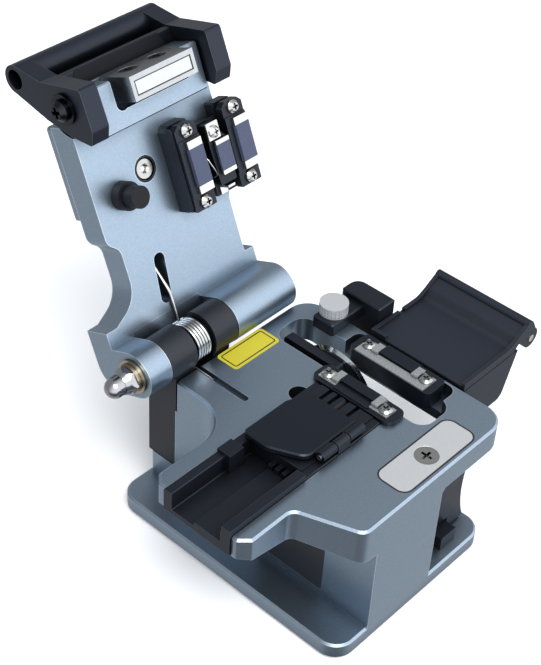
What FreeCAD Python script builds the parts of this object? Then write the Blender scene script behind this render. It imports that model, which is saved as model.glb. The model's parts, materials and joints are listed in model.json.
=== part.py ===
"""Bench fibre cleaver: a machined aluminium body with a sliding blade carriage,
a sprung clamping lid, a clip-on fibre holder and a swing-lid scrap bin.

Millimetres, +Z up. The origin is the centre of the rubber base pad's underside.
+X runs along the fibre towards the scrap bin, +Y points back to the lid hinge.
Lid parts are drawn in the lid's own frame (x, u, w): u runs from the hinge axis
towards the lid's free end and w is the outward normal of its underside.
"""
import FreeCAD
import Part
import math
import os

V = FreeCAD.Vector

# ---------------------------------------------------------------- driving sizes
# clearances
SNUG = 0.05            # pocket around a piece of the same body
RUN = 0.05             # radial running clearance of a shaft
GAP = 0.3              # air between pieces that move past each other

# base, wall and deck
BASE_W = 50.0
BASE_D = 65.0
BASE_TOP = 4.5
BASE_R = 4.8
PAD_PROUD = 0.5
PAD_DEPTH = 1.0
PAD_INSET = 3.5
EDGE = 0.45            # machined edge break

DECK_TOP = 36.5
DECK_T = 6.0
DECK_RIGHT = 26.2
DECK_BACK = 24.1
DECK_CORNER = 5.5
WALL_LEFT = -15.65     # left face of the upright wall
WALL_RIGHT = 4.8
STEP_TOP = 11.2        # raised step behind the wall that carries the hinge post
STEP_BACK = 31.6

# fibre line and clamp heights
FIBRE_Y = -5.8
ANVIL_TOP = 38.4       # highest point of everything fixed on the deck

# holder channel
CHANNEL_W = 18.1
ANVIL_SCREW_EDGE = 1.15
CHANNEL_FLOOR = 31.5
ARM_END = -39.1
ARM_FRONT_W = 3.4
ARM_BACK_W = 4.0
ARM_TIP_T = 5.0
ARM_ROOT_T = 9.5

# blade slot
SLOT_LEFT = 10.5
SLOT_RIGHT = 20.5
SLOT_FRONT = -22.1
SLOT_BACK = 20.2
SLOT_R = 3.4
LEDGE_Z = 33.0         # shelf for the right anvil block
BAY_RIGHT = 25.2
BAY_FRONT = -19.6
BAY_BACK = 7.6

# anvil blocks
LEFT_ANVIL_X = 5.6
LEFT_ANVIL_W = 5.4
RIGHT_ANVIL_X = 18.6
RIGHT_ANVIL_W = 6.4
ANVIL_SCREW_PITCH = CHANNEL_W - 2 * ANVIL_SCREW_EDGE
ANVIL_LAND_L = 9.2
FLANGE_T = 0.9
CLIP_SHEET = 0.35       # sheet steel of the anvil clips
STRIP_W = 2.3

# strike plate
STRIKE_L = 23.6
STRIKE_W = 7.8
STRIKE_T = 1.6
STRIKE_X = 5.0
STRIKE_Y = -27.25

# hinge
HINGE_Y = 28.5
HINGE_Z = 40.2
BARREL_R = 5.37
SHAFT_R = 2.0
KNUCKLE_L = -17.4
KNUCKLE_R = 2.6
BARREL_L = -23.6
BARREL_R_END = 21.1
LID_OPEN = 113.3       # degrees from closed to the open rest pose
COIL_L = -9.4
COIL_R = -4.7
CORE_R = 3.6
WIRE_R = 0.37
COIL_TURNS = 6

# lid
LID_CX = 2.2
LID_HALF = 18.9
LID_NECK_HALF = 16.05
LID_UNDER = -5.0       # w of the underside
LID_T = 6.6
COVER_T = 2.0
COVER_START = 31.0
BLOCK_FACE = -0.3      # w of the end block's face
BLOCK_START = 48.2
BLOCK_HALF = 14.9
LID_END = 58.6
MAGNET_FACE = 3.4      # w of the magnet: GAP above the strike plate when shut
MAGNET_X = 3.6
MAGNET_L = 17.6
MAGNET_U = 55.9
MAGNET_W = 5.1
CLAMP_U = 34.3         # fibre line on the lid
CLAMP_FACE = 1.5       # w of the lid's clamp pads

# lifting handle
PIVOT_U = 56.5
PIVOT_W = -3.5
GRIP_U = 62.5
GRIP_W = -17.4
GRIP_R = 3.1
GRIP_BORE = 2.2
EAR_GAP = 0.3           # between the end block and each ear
EAR_T = 4.4
EAR_IN = BLOCK_HALF + EAR_GAP
EAR_OUT = EAR_IN + EAR_T
HANDLE_SCREW_TIP = MAGNET_X - LID_CX + MAGNET_L / 2 + 0.1
HUB_R = 6.0

# blade and carriage
BLADE_R = 10.4
BLADE_T = 1.0
BLADE_X = 15.1
BLADE_Y = 5.1
BLADE_Z = 27.9
BLADE_ARM_T = 2.3
CARRIAGE_FRONT = -27.0
CARRIAGE_BACK = 18.5
CARRIAGE_L = 5.6
CARRIAGE_RIGHT = 23.4
CARRIAGE_TOP = 16.8
GRIP_TOP = 29.6
GRIP_T = 5.0
SKIRT_Z = 5.2
RAIL_X = 14.5
RAIL_W = 5.0
RAIL_H = 3.6
RAIL_L = 58.0
BEARING_W = 12.0
BEARING_L = 24.0
BEARING_TOP = 10.5

# fibre holder
TRAY_LEFT = -39.6
TRAY_TOP = 36.9
TRAY_FLOOR = 33.7
FRONT_RAIL_TOP = 38.1
HOLDER_PIN_Y = -13.6
HOLDER_PIN_Z = 38.4
CLIP_L = -17.6
CLIP_R = 0.4
CLIP_TOP = 38.9

# scrap bin
BIN_X0 = 27.0
BIN_X1 = 46.6
BIN_Y0 = -20.4
BIN_Y1 = 5.6
BIN_BOTTOM = 23.8
BIN_TOP = 35.4
BIN_WALL = 1.2
BIN_PIN_X = 51.2
BIN_PIN_Z = 36.3
BRACKET_TOP = 39.5
BRACKET_BLOCK_TOP = 41.0
THUMB_H = 2.6

# small fasteners: head radius, head height, shank radius
M2_HEAD = 1.5
M2_HEAD_H = 1.0
M2_SHANK = 0.8

# the fixed body
FLANGE_TOP = DECK_TOP + FLANGE_T
CHANNEL_FRONT = FIBRE_Y - CHANNEL_W / 2
CHANNEL_BACK = FIBRE_Y + CHANNEL_W / 2
BASE_FRONT = -BASE_D / 2
SCREW_BACK_Y = FIBRE_Y + ANVIL_SCREW_PITCH / 2
SCREW_FRONT_Y = FIBRE_Y - ANVIL_SCREW_PITCH / 2
LEFT_ANVIL_C = LEFT_ANVIL_X + LEFT_ANVIL_W / 2
RIGHT_ANVIL_C = RIGHT_ANVIL_X + RIGHT_ANVIL_W / 2
DECK_UNDER = DECK_TOP - DECK_T
SPRING_GROOVE_X = COIL_L + WIRE_R
SPRING_LEG_Y = 13.0
COIL_STEPS = 20
WIRE_SIDES = 10
COIL_MEAN = CORE_R + WIRE_R + 0.45
BRACKET_X0 = 19.2
BRACKET_Y0 = 10.6
BRACKET_Y1 = 17.0
THUMB_X = 23.4
THUMB_Y = 14.0
POST_L = -15.5
POST_R = 0.7
POST_SCREW_X = -7.4
POST_SCREW_Z = (17.5, 27.5)
RAIL_SCREW_Y = (-24.0, -8.0, 8.0, 24.0)
HOLDER_SCREWS = ((-11.0, -10.2), (-11.0, -1.4))

# hinge
SHAFT_END = BARREL_R_END - 2.6
NUT_X = BARREL_L - 1.5

# lid
LID_OUT = LID_UNDER - LID_T
LID_L = LID_CX - LID_HALF
LID_R = LID_CX + LID_HALF
RECESS_FLOOR = -6.2
BLOCK_BACK = -7.0
SLOT_U0 = 8.0
SLOT_U1 = 19.2
HEX_X = -1.6
HEX_U = 37.1
BUMPER_X = -9.2
BUMPER_U = CLAMP_U
LEFT_CLAMP_X = 7.3
RIGHT_CLAMP_X = 21.3
CLAMP_SCREW_PITCH = 16.0
MAGNET_SCREWS = (-0.4, 7.6)
MAGNET_SCREW_W = -2.6

# lid clamps
CLAMP_END = 1.7          # from a jaw screw to the end of its block
JAW_STEP = 1.8          # from a jaw screw to the step beside the pad
CLAMP_U0 = CLAMP_U - CLAMP_SCREW_PITCH / 2 - CLAMP_END
CLAMP_U1 = CLAMP_U + CLAMP_SCREW_PITCH / 2 + CLAMP_END
CLAMP_BASE_TOP = -2.4
JAW_BOTTOM = -1.5
JAW_SEAT = 0.3
JAW_TOP = 0.6
JAW_W = 6.0
CLAMP_PAD_L = 8.2
CLAMP_PAD_W = 4.0
ANVIL_ARM_X = 15.6
ANVIL_CLIP_U = 39.3

# blade carriage
ARM_X1 = BLADE_X - BLADE_T / 2 - 0.1
ARM_X0 = ARM_X1 - BLADE_ARM_T
BEARING_Y = 4.0
CARRIAGE_SCREW_X = (RAIL_X - 4.2, RAIL_X + 4.2)
CARRIAGE_SCREW_Y = -5.0
MOUNT_SCREW_X = (8.4, 19.4)
MOUNT_SCREW_Y = 12.0

# fibre holder
TRAY_Y0 = CHANNEL_FRONT + 0.1
TRAY_Y1 = CHANNEL_BACK - 0.1
HOLDER_BED = 37.2
CLIP_UNDER = 37.7
LOBE_R = 1.15
TRAY_LOBE = (-8.0, -4.4)
CLIP_LOBES = ((-12.4, -8.3), (-4.1, 0.4))

# scrap bin
LUG_T = 3.0
RIM_W = 0.9
RIM_TOP = 37.5
LIP_X = 50.2
LIP_Z = 40.4
LIP_R = 1.1
TAB_T = 2.8
BLOCK_X0 = 29.6
BLOCK_X1 = 35.1
HOOK = (30.6, 34.0, 26.5, 34.0)


# ---------------------------------------------------------------- shape helpers
def box(x0, x1, y0, y1, z0, z1):
    """Axis-aligned box between two corners."""
    return Part.makeBox(x1 - x0, y1 - y0, z1 - z0, V(x0, y0, z0))


def rod(axis, r, start, length):
    """Cylinder from a start point along 'x', 'y' or 'z'."""
    way = {"x": V(1, 0, 0), "y": V(0, 1, 0), "z": V(0, 0, 1)}[axis]
    return Part.makeCylinder(r, length, V(*start), way)


def rounded_wire(points, plane="xy", level=0.0):
    """Closed outline through (a, b, corner radius) points in a main plane."""
    place = {
        "xy": lambda a, b: V(a, b, level),
        "yz": lambda a, b: V(level, a, b),
        "xz": lambda a, b: V(a, level, b),
    }[plane]
    count = len(points)
    corners = []
    for i, (a, b, r) in enumerate(points):
        here = V(a, b, 0)
        before = V(points[i - 1][0], points[i - 1][1], 0)
        after = V(points[(i + 1) % count][0], points[(i + 1) % count][1], 0)
        to_before = (before - here).normalize()
        to_after = (after - here).normalize()
        if r <= 0:
            corners.append((here, here, here))
            continue
        half = to_before.getAngle(to_after) / 2
        reach = r / math.tan(half)
        inward = (to_before + to_after).normalize()
        middle = here + inward * (r / math.sin(half) - r)
        corners.append((here + to_before * reach, middle, here + to_after * reach))
    edges = []
    for i, (start, middle, end) in enumerate(corners):
        if (end - start).Length > 1e-6:
            arc = Part.Arc(place(start.x, start.y), place(middle.x, middle.y), place(end.x, end.y))
            edges.append(arc.toShape())
        following = corners[(i + 1) % count][0]
        if (following - end).Length > 1e-6:
            edges.append(Part.makeLine(place(end.x, end.y), place(following.x, following.y)))
    return Part.Wire(edges)


def slab(points, z0, z1):
    """Prism of an (x, y, radius) outline between two heights."""
    return Part.Face(rounded_wire(points, "xy", z0)).extrude(V(0, 0, z1 - z0))


def bar_x(points, x0, x1):
    """Prism of a (y, z, radius) outline along X."""
    return Part.Face(rounded_wire(points, "yz", x0)).extrude(V(x1 - x0, 0, 0))


def bar_y(points, y0, y1):
    """Prism of an (x, z, radius) outline along Y."""
    return Part.Face(rounded_wire(points, "xz", y0)).extrude(V(0, y1 - y0, 0))


def rounded_box(x0, x1, y0, y1, z0, z1, r):
    """Box with its four upright edges rounded."""
    return slab([(x0, y0, r), (x1, y0, r), (x1, y1, r), (x0, y1, r)], z0, z1)


def edges_at(shape, level):
    """Edges that lie in the plane z = level."""
    found = []
    for edge in shape.Edges:
        bound = edge.BoundBox
        if abs(bound.ZMin - level) < 1e-4 and abs(bound.ZMax - level) < 1e-4:
            found.append(edge)
    return found


def broken(shape, size, *levels):
    """Shape with the edges at the given heights chamfered."""
    picked = []
    for level in levels:
        picked += edges_at(shape, level)
    return shape.makeChamfer(size, picked)


def union(first, *others):
    """Fuse solids that touch or overlap into one clean solid."""
    return first.fuse(list(others)).removeSplitter()


def lid_frame(shape):
    """Carry a shape from the lid's (x, u, w) frame to its open rest pose."""
    placed = shape.copy()
    placed.rotate(V(0, 0, 0), V(1, 0, 0), 180.0 - LID_OPEN)
    placed.translate(V(0, HINGE_Y, HINGE_Z))
    return placed


def pan_screw(x, y, seat, length, head_r=M2_HEAD, head_h=M2_HEAD_H, shank_r=M2_SHANK):
    """Cross-recess pan-head screw standing on the height seat, shank down."""
    rim = head_h * 0.45
    head = Part.makeCylinder(head_r, rim, V(x, y, seat))
    dome = Part.makeCone(head_r, head_r * 0.62, head_h - rim, V(x, y, seat + rim))
    shank = Part.makeCylinder(shank_r, length, V(x, y, seat - length))
    screw = union(head, dome, shank)
    wing = head_r * 0.52
    slit = head_r * 0.16
    top = seat + head_h
    cross = union(
        box(x - wing, x + wing, y - slit, y + slit, top - head_h * 0.5, top + 1),
        box(x - slit, x + slit, y - wing, y + wing, top - head_h * 0.5, top + 1),
    )
    return screw.cut(cross)


def screw_hole(x, y, seat, length, shank_r=M2_SHANK):
    """Hole that a pan_screw's shank fills with a snug clearance."""
    return Part.makeCylinder(shank_r + SNUG, length + SNUG, V(x, y, seat - length - SNUG))


def export(name, shape):
    """Write one sub-part, a solid or a group of separate solids."""
    solids = shape.Solids
    if len(solids) == 1:
        solids[0].exportStep("parts/" + name + ".step")
    else:
        Part.makeCompound(solids).exportStep("parts/" + name + ".step")
    print(name, len(solids), round(shape.Volume, 2), shape.isValid())


# ---------------------------------------------------------------- the fixed body


def deck_outline():
    """Deck plan: wide right side, channel arms reaching out to the left."""
    front = BASE_FRONT
    arm_front = CHANNEL_FRONT - ARM_FRONT_W
    arm_back = CHANNEL_BACK + ARM_BACK_W
    return [
        (-20.4, front, 2.6),
        (-25.8, arm_front, 2.2),
        (ARM_END + 2.2, arm_front, 0.6),
        (ARM_END, arm_front + 2.2, 0.6),
        (ARM_END, arm_back - 2.2, 0.6),
        (ARM_END + 2.2, arm_back, 0.6),
        (WALL_LEFT, arm_back, 9.5),
        (WALL_LEFT, DECK_BACK, 0.8),
        (DECK_RIGHT, DECK_BACK, DECK_CORNER),
        (DECK_RIGHT, front, DECK_CORNER),
    ]


def base_plate():
    """Base plate with rounded corners and a recess for the pad."""
    plate = rounded_box(-BASE_W / 2, BASE_W / 2, BASE_FRONT, -BASE_FRONT, PAD_PROUD, BASE_TOP, BASE_R)
    plate = broken(plate, EDGE, BASE_TOP, PAD_PROUD)
    return plate


def deck():
    """Deck plate with its tapered arms, before the pockets are cut."""
    arm_root = DECK_TOP - ARM_ROOT_T
    plate = slab(deck_outline(), arm_root, DECK_TOP)
    plate = broken(plate, EDGE, DECK_TOP)
    side = [
        (ARM_END - 1, DECK_TOP - ARM_TIP_T, 0),
        (WALL_LEFT, arm_root, 0),
        (WALL_RIGHT, arm_root, 0),
        (WALL_RIGHT, DECK_UNDER - 1.0, 0),
        (WALL_RIGHT + 1.0, DECK_UNDER, 0),
        (DECK_RIGHT + 1, DECK_UNDER, 0),
        (DECK_RIGHT + 1, DECK_TOP + 1, 0),
        (ARM_END - 1, DECK_TOP + 1, 0),
    ]
    keep = bar_y(side, BASE_FRONT - 1, DECK_BACK + 1)
    return plate.common(keep)


def wall():
    """Upright wall from base to deck, with the step behind it."""
    upright = box(WALL_LEFT, WALL_RIGHT, BASE_FRONT, DECK_BACK, BASE_TOP - 1, DECK_TOP - ARM_ROOT_T + 1)
    step = rounded_box(WALL_LEFT, WALL_RIGHT, DECK_BACK - 4, STEP_BACK, BASE_TOP - 1, STEP_TOP, 0.8)
    return union(upright, step)


def deck_pockets():
    """Everything milled into the deck from above."""
    floor = CHANNEL_FLOOR
    over = DECK_TOP + 1
    channel = box(WALL_LEFT, LEFT_ANVIL_X - 0.2, CHANNEL_FRONT, CHANNEL_BACK, floor, over)
    seat = box(LEFT_ANVIL_X - 1, SLOT_LEFT + 1, CHANNEL_FRONT, CHANNEL_BACK, LEDGE_Z, over)
    mouth = box(ARM_END - 1, WALL_LEFT, CHANNEL_FRONT, CHANNEL_BACK, DECK_TOP - ARM_ROOT_T - 1, over)
    relief = rod("z", 2.3, (0.3, CHANNEL_BACK, floor), over - floor)
    slot = rounded_box(SLOT_LEFT, SLOT_RIGHT, SLOT_FRONT, SLOT_BACK, DECK_UNDER - 1, over, SLOT_R)
    bay_left = rounded_box(LEFT_ANVIL_X + 0.5, SLOT_LEFT + 4, SCREW_BACK_Y - 6, SCREW_BACK_Y + 3.0, LEDGE_Z, over, 2.2)
    bay_right = rounded_box(SLOT_RIGHT - 4, BAY_RIGHT, BAY_FRONT, BAY_BACK, LEDGE_Z, over, 2.2)
    strike = rounded_box(
        STRIKE_X - STRIKE_L / 2 - SNUG,
        STRIKE_X + STRIKE_L / 2 + SNUG,
        STRIKE_Y - STRIKE_W / 2 - SNUG,
        STRIKE_Y + STRIKE_W / 2 + SNUG,
        DECK_TOP - STRIKE_T,
        over,
        2.2,
    )
    groove_z = HINGE_Z - COIL_MEAN - WIRE_R - SNUG
    groove = union(
        box(SPRING_GROOVE_X - 0.8, SPRING_GROOVE_X + 0.8, 10.2, DECK_BACK + 1, groove_z, over),
        rod("z", 0.8, (SPRING_GROOVE_X, 10.2, groove_z), over - groove_z),
    )
    return [channel, seat, mouth, relief, slot, bay_left, bay_right, strike, groove]


def body_frame():
    """Machined aluminium body: base plate, wall, step and deck in one piece."""
    body = union(base_plate(), wall(), deck())
    cuts = deck_pockets()
    inset = PAD_INSET - SNUG
    cuts.append(rounded_box(
        -BASE_W / 2 + inset, BASE_W / 2 - inset, BASE_FRONT + inset, -BASE_FRONT - inset,
        PAD_PROUD - 1, PAD_PROUD + PAD_DEPTH, BASE_R - 1,
    ))
    cuts.append(screw_hole(STRIKE_X, STRIKE_Y, DECK_TOP, 6.0, 1.4))
    cuts.append(screw_hole(THUMB_X, THUMB_Y, DECK_TOP, DECK_T + 1, 1.5))
    for z in POST_SCREW_Z:
        cuts.append(rod("y", 1.25 + SNUG, (POST_SCREW_X, DECK_BACK - 6, z), 7.0))
    for y in RAIL_SCREW_Y:
        cuts.append(screw_hole(RAIL_X, y, BASE_TOP, 2.5))
    for x, y in HOLDER_SCREWS:
        cuts.append(screw_hole(x, y, CHANNEL_FLOOR, 3.0))
    return body.cut(cuts)


def base_pad():
    """Rubber pad seated in the plate's recess, standing proud underneath."""
    half_w = BASE_W / 2 - PAD_INSET
    half_d = BASE_D / 2 - PAD_INSET
    return rounded_box(-half_w, half_w, -half_d, half_d, 0, PAD_PROUD + PAD_DEPTH, BASE_R - 1)


def strike_plate():
    """Steel plate that the lid magnet holds, with a countersunk hole."""
    low = DECK_TOP - STRIKE_T
    plate = rounded_box(
        STRIKE_X - STRIKE_L / 2, STRIKE_X + STRIKE_L / 2,
        STRIKE_Y - STRIKE_W / 2, STRIKE_Y + STRIKE_W / 2,
        low, DECK_TOP, 2.1,
    )
    sink = Part.makeCone(1.45, 2.7, 1.35, V(STRIKE_X, STRIKE_Y, DECK_TOP - 1.35))
    return plate.cut([sink, rod("z", 1.45, (STRIKE_X, STRIKE_Y, low - 1), 3)])


def strike_screw():
    """Countersunk cross-recess screw, flush with the strike plate."""
    head = Part.makeCone(1.4, 2.62, 1.28, V(STRIKE_X, STRIKE_Y, DECK_TOP - 1.33))
    shank = rod("z", 1.35, (STRIKE_X, STRIKE_Y, DECK_TOP - 6.0), 4.8)
    cross = union(
        box(STRIKE_X - 1.3, STRIKE_X + 1.3, STRIKE_Y - 0.3, STRIKE_Y + 0.3, DECK_TOP - 0.8, DECK_TOP + 1),
        box(STRIKE_X - 0.3, STRIKE_X + 0.3, STRIKE_Y - 1.3, STRIKE_Y + 1.3, DECK_TOP - 0.8, DECK_TOP + 1),
    )
    return union(head, shank).cut(cross)


def left_anvil():
    """Black anvil block in the channel with rounded flanges over the deck."""
    x0 = LEFT_ANVIL_X
    x1 = LEFT_ANVIL_X + LEFT_ANVIL_W
    body = box(x0 + SNUG, x1, CHANNEL_FRONT + SNUG, CHANNEL_BACK - SNUG, LEDGE_Z, FLANGE_TOP)
    flange = rounded_box(x0, x1 + 0.3, SCREW_FRONT_Y - 3.4, SCREW_BACK_Y + 2.8, DECK_TOP, FLANGE_TOP, 1.9)
    land = box(x0 + 0.4, x1, FIBRE_Y - ANVIL_LAND_L / 2, FIBRE_Y + ANVIL_LAND_L / 2, DECK_TOP, ANVIL_TOP - 0.7)
    block = union(body, flange, land)
    for y in (SCREW_FRONT_Y, SCREW_BACK_Y):
        block = block.cut(screw_hole(LEFT_ANVIL_C, y, FLANGE_TOP, 3.5))
    return block


def right_anvil():
    """Black anvil block on the slot's right shelf."""
    x0 = RIGHT_ANVIL_X
    x1 = RIGHT_ANVIL_X + RIGHT_ANVIL_W
    front = SCREW_FRONT_Y - 3.2
    back = SCREW_BACK_Y + 3.2
    body = rounded_box(x0, x1, front, back, LEDGE_Z, FLANGE_TOP, 1.2)
    land_x0 = x0 + STRIP_W + 2 * SNUG
    land = box(land_x0, x1 - 0.4, FIBRE_Y - ANVIL_LAND_L / 2, FIBRE_Y + ANVIL_LAND_L / 2, LEDGE_Z + 1, ANVIL_TOP - 0.7)
    block = union(body, land)
    for y in (SCREW_FRONT_Y, SCREW_BACK_Y):
        block = block.cut(screw_hole(RIGHT_ANVIL_C, y, FLANGE_TOP, 3.5))
    return block


def anvil_pad(x0, width):
    """Flat anvil insert that the fibre lies on."""
    half = ANVIL_LAND_L / 2
    return box(x0, x0 + width, FIBRE_Y - half, FIBRE_Y + half, ANVIL_TOP - 0.7, ANVIL_TOP - 0.1)


def anvil_clips(screw_x, x0, x1):
    """Two bent clips: a foot under each screw and a tab beside the insert."""
    clips = []
    for way in (1, -1):
        screw_y = FIBRE_Y + way * ANVIL_SCREW_PITCH / 2
        land_y = FIBRE_Y + way * (ANVIL_LAND_L / 2 + SNUG)
        y0, y1 = sorted((screw_y + way * 1.5, land_y))
        foot = box(screw_x - 1.7, screw_x + 1.7, y0, y1, FLANGE_TOP, FLANGE_TOP + CLIP_SHEET)
        r0, r1 = sorted((land_y, land_y + way * 1.7))
        tab = box(x0, x1, r0, r1, FLANGE_TOP, ANVIL_TOP)
        clips.append(union(foot, tab).cut(rod("z", M2_SHANK + SNUG, (screw_x, screw_y, FLANGE_TOP - 1), 3)))
    return clips


def right_anvil_strip():
    """Bright strip along the right block's slot edge that joins its two clips."""
    half = ANVIL_SCREW_PITCH / 2 + 1.5
    x0 = RIGHT_ANVIL_X + SNUG
    strip = box(x0, x0 + STRIP_W, FIBRE_Y - half, FIBRE_Y + half, FLANGE_TOP, FLANGE_TOP + CLIP_SHEET)
    clips = anvil_clips(RIGHT_ANVIL_C, x0 + STRIP_W - 0.4, x0 + STRIP_W + 2.6)
    return union(strip, *clips)


def anvil_screws(centre):
    """Pair of screws that hold one anvil's clips."""
    seat = FLANGE_TOP + CLIP_SHEET
    head_h = ANVIL_TOP - seat
    pair = [pan_screw(centre, y, seat, 3.4, head_h=head_h) for y in (SCREW_FRONT_Y, SCREW_BACK_Y)]
    return Part.makeCompound(pair)


# ---------------------------------------------------------------- hinge
def hinge_post():
    """Black post behind the wall whose head is the hinge's middle knuckle."""
    y0 = DECK_BACK + SNUG
    y1 = STEP_BACK + 0.8
    post = box(POST_L, POST_R, y0, y1, STEP_TOP, HINGE_Z)
    knuckle = rod("x", BARREL_R - 0.07, (KNUCKLE_L, HINGE_Y, HINGE_Z), KNUCKLE_R - KNUCKLE_L)
    head = union(post, knuckle)
    band = rod("x", BARREL_R + 0.5, (COIL_L - 0.5, HINGE_Y, HINGE_Z), COIL_R - COIL_L + 1.0)
    core = rod("x", CORE_R, (COIL_L - 1, HINGE_Y, HINGE_Z), COIL_R - COIL_L + 2.0)
    head = head.cut(band.cut(core))
    leg_z = HINGE_Z - COIL_MEAN - WIRE_R - SNUG
    cuts = [
        rod("x", SHAFT_R + 0.01, (KNUCKLE_L - 1, HINGE_Y, HINGE_Z), KNUCKLE_R - KNUCKLE_L + 2),
        box(SPRING_GROOVE_X - 0.8, SPRING_GROOVE_X + 0.8, y0 - 1, HINGE_Y - 3.5, leg_z, HINGE_Z + 1),
    ]
    for z in POST_SCREW_Z:
        cuts.append(rod("y", 1.25 + SNUG, (POST_SCREW_X, y0 - 1, z), y1 - y0 + 2))
        cuts.append(rod("y", 2.4, (POST_SCREW_X, y1 - 2.6, z), 4))
    return head.cut(cuts)


def socket_screw_y(x, y_seat, z, length, head_r, head_h, shank_r):
    """Socket cap screw along -Y with its head bearing on y_seat."""
    head = rod("y", head_r, (x, y_seat, z), head_h)
    shank = rod("y", shank_r, (x, y_seat - length, z), length)
    socket = hexagon("y", head_r * 0.52, (x, y_seat + head_h * 0.45, z), head_h)
    return union(head, shank).cut(socket)


def hexagon(axis, r, start, length):
    """Hexagonal prism with corner radius r along 'x', 'y' or 'z'."""
    corners = []
    for i in range(7):
        a = math.radians(60 * i)
        p, q = r * math.cos(a), r * math.sin(a)
        corner = {"x": V(0, p, q), "y": V(p, 0, q), "z": V(p, q, 0)}[axis]
        corners.append(V(*start) + corner)
    way = {"x": V(length, 0, 0), "y": V(0, length, 0), "z": V(0, 0, length)}[axis]
    return Part.Face(Part.makePolygon(corners)).extrude(way)


def post_screws():
    """Two socket cap screws that fix the post to the wall."""
    seat = STEP_BACK + 0.8 - 2.6
    pair = [socket_screw_y(POST_SCREW_X, seat, z, 9.0, 2.2, 2.4, 1.25) for z in POST_SCREW_Z]
    return Part.makeCompound(pair)


def hinge_shaft():
    """Hinge shaft: flat head in the right barrel, thread end on the left."""
    main = rod("x", SHAFT_R, (BARREL_L, HINGE_Y, HINGE_Z), SHAFT_END - BARREL_L)
    head = rod("x", SHAFT_R + 1.1, (SHAFT_END, HINGE_Y, HINGE_Z), 1.9)
    end = rod("x", 1.5, (NUT_X - 3.6, HINGE_Y, HINGE_Z), BARREL_L - NUT_X + 3.6)
    shaft = union(main, head, end)
    return shaft.cut(hexagon("x", 1.5, (SHAFT_END + 1.0, HINGE_Y, HINGE_Z), 2))


def acorn_nut():
    """Domed cap nut on the shaft's thread end."""
    hexa = hexagon("x", 3.3, (NUT_X - 2.6, HINGE_Y, HINGE_Z), 2.6)
    cone = Part.makeCone(2.4, 3.5, 2.6, V(NUT_X - 2.6, HINGE_Y, HINGE_Z), V(1, 0, 0))
    hexa = hexa.common(cone)
    neck = rod("x", 2.3, (NUT_X - 3.8, HINGE_Y, HINGE_Z), 1.6)
    dome = Part.makeSphere(2.3, V(NUT_X - 3.8, HINGE_Y, HINGE_Z))
    nut = union(hexa, neck, dome)
    return nut.cut(rod("x", 1.5 + SNUG, (NUT_X - 3.7, HINGE_Y, HINGE_Z), 5))


def washer(axis, centre, outer, inner, thickness):
    """Flat ring starting at a centre point."""
    ring = rod(axis, outer, centre, thickness)
    return ring.cut(rod(axis, inner, centre, thickness))


def hinge_washers():
    """Flat washer and spring washer between the nut and the left barrel."""
    flat = washer("x", (BARREL_L - 0.6, HINGE_Y, HINGE_Z), 3.9, 1.6, 0.5)
    split = washer("x", (NUT_X, HINGE_Y, HINGE_Z), 3.2, 1.6, BARREL_L - 0.6 - NUT_X)
    return Part.makeCompound([flat, split])


def torsion_spring():
    """Close-wound torsion spring with one leg in the lid and one in the deck."""
    first = COIL_L + WIRE_R
    last = COIL_R - WIRE_R
    turns = COIL_TURNS - 1 + (180.0 - LID_OPEN) / 360.0
    steps = round(turns * COIL_STEPS)
    route = [V(first, SPRING_LEG_Y, HINGE_Z - COIL_MEAN)]
    for i in range(steps + 1):
        share = i / steps
        angle = 2 * math.pi * turns * share - math.pi / 2
        x = first + (last - first) * share
        route.append(V(x, HINGE_Y + COIL_MEAN * math.cos(angle), HINGE_Z + COIL_MEAN * math.sin(angle)))
    route.append(lid_point(last - 0.1, SLOT_U0 + 2.4, -COIL_MEAN))
    route.append(lid_point(last - 0.3, SLOT_U1 - 2.6, -COIL_MEAN - 3.0))
    rim = []
    for i in range(WIRE_SIDES + 1):
        angle = 2 * math.pi * i / WIRE_SIDES
        rim.append(route[0] + V(WIRE_R * math.cos(angle), 0, WIRE_R * math.sin(angle)))
    section = Part.makePolygon(rim)
    return Part.makePolygon(route).makePipeShell([section], True, False, 1)


def lid_point(x, u, w):
    """Point of the lid's frame in the open rest pose."""
    angle = math.radians(180.0 - LID_OPEN)
    y = HINGE_Y + u * math.cos(angle) - w * math.sin(angle)
    z = HINGE_Z + u * math.sin(angle) + w * math.cos(angle)
    return V(x, y, z)


# ---------------------------------------------------------------- lid


def lid_outline():
    """Plan of the lid plate: waisted near the hinge, wide at the clamps."""
    neck_l = LID_CX - LID_NECK_HALF
    neck_r = LID_CX + LID_NECK_HALF
    return [
        (BARREL_L, 3.0, 0),
        (BARREL_L, 7.4, 1.0),
        (neck_l, 12.6, 7.0),
        (neck_l, 24.0, 3.0),
        (LID_L, 26.2, 3.0),
        (LID_L, 53.0, 0.6),
        (LID_R, 53.0, 0.6),
        (LID_R, 26.2, 3.0),
        (neck_r, 23.2, 4.0),
        (neck_r, 9.0, 4.0),
        (BARREL_R_END, 5.2, 1.5),
        (BARREL_R_END, 3.0, 0),
    ]


def barrel_section(x0, x1):
    """Lid barrel: a round front that runs into the plate behind it."""
    outline = [
        (-BARREL_R, 0, 0),
        (-BARREL_R, LID_OUT, 6.4),
        (9.0, LID_OUT, 0),
        (9.0, LID_UNDER, 0),
        (BARREL_R, LID_UNDER, 0),
        (BARREL_R, 0, 0),
    ]
    back = bar_x(outline, x0, x1)
    front = Part.makeCylinder(BARREL_R, x1 - x0, V(x0, 0, 0), V(1, 0, 0))
    return union(back, front)


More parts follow.
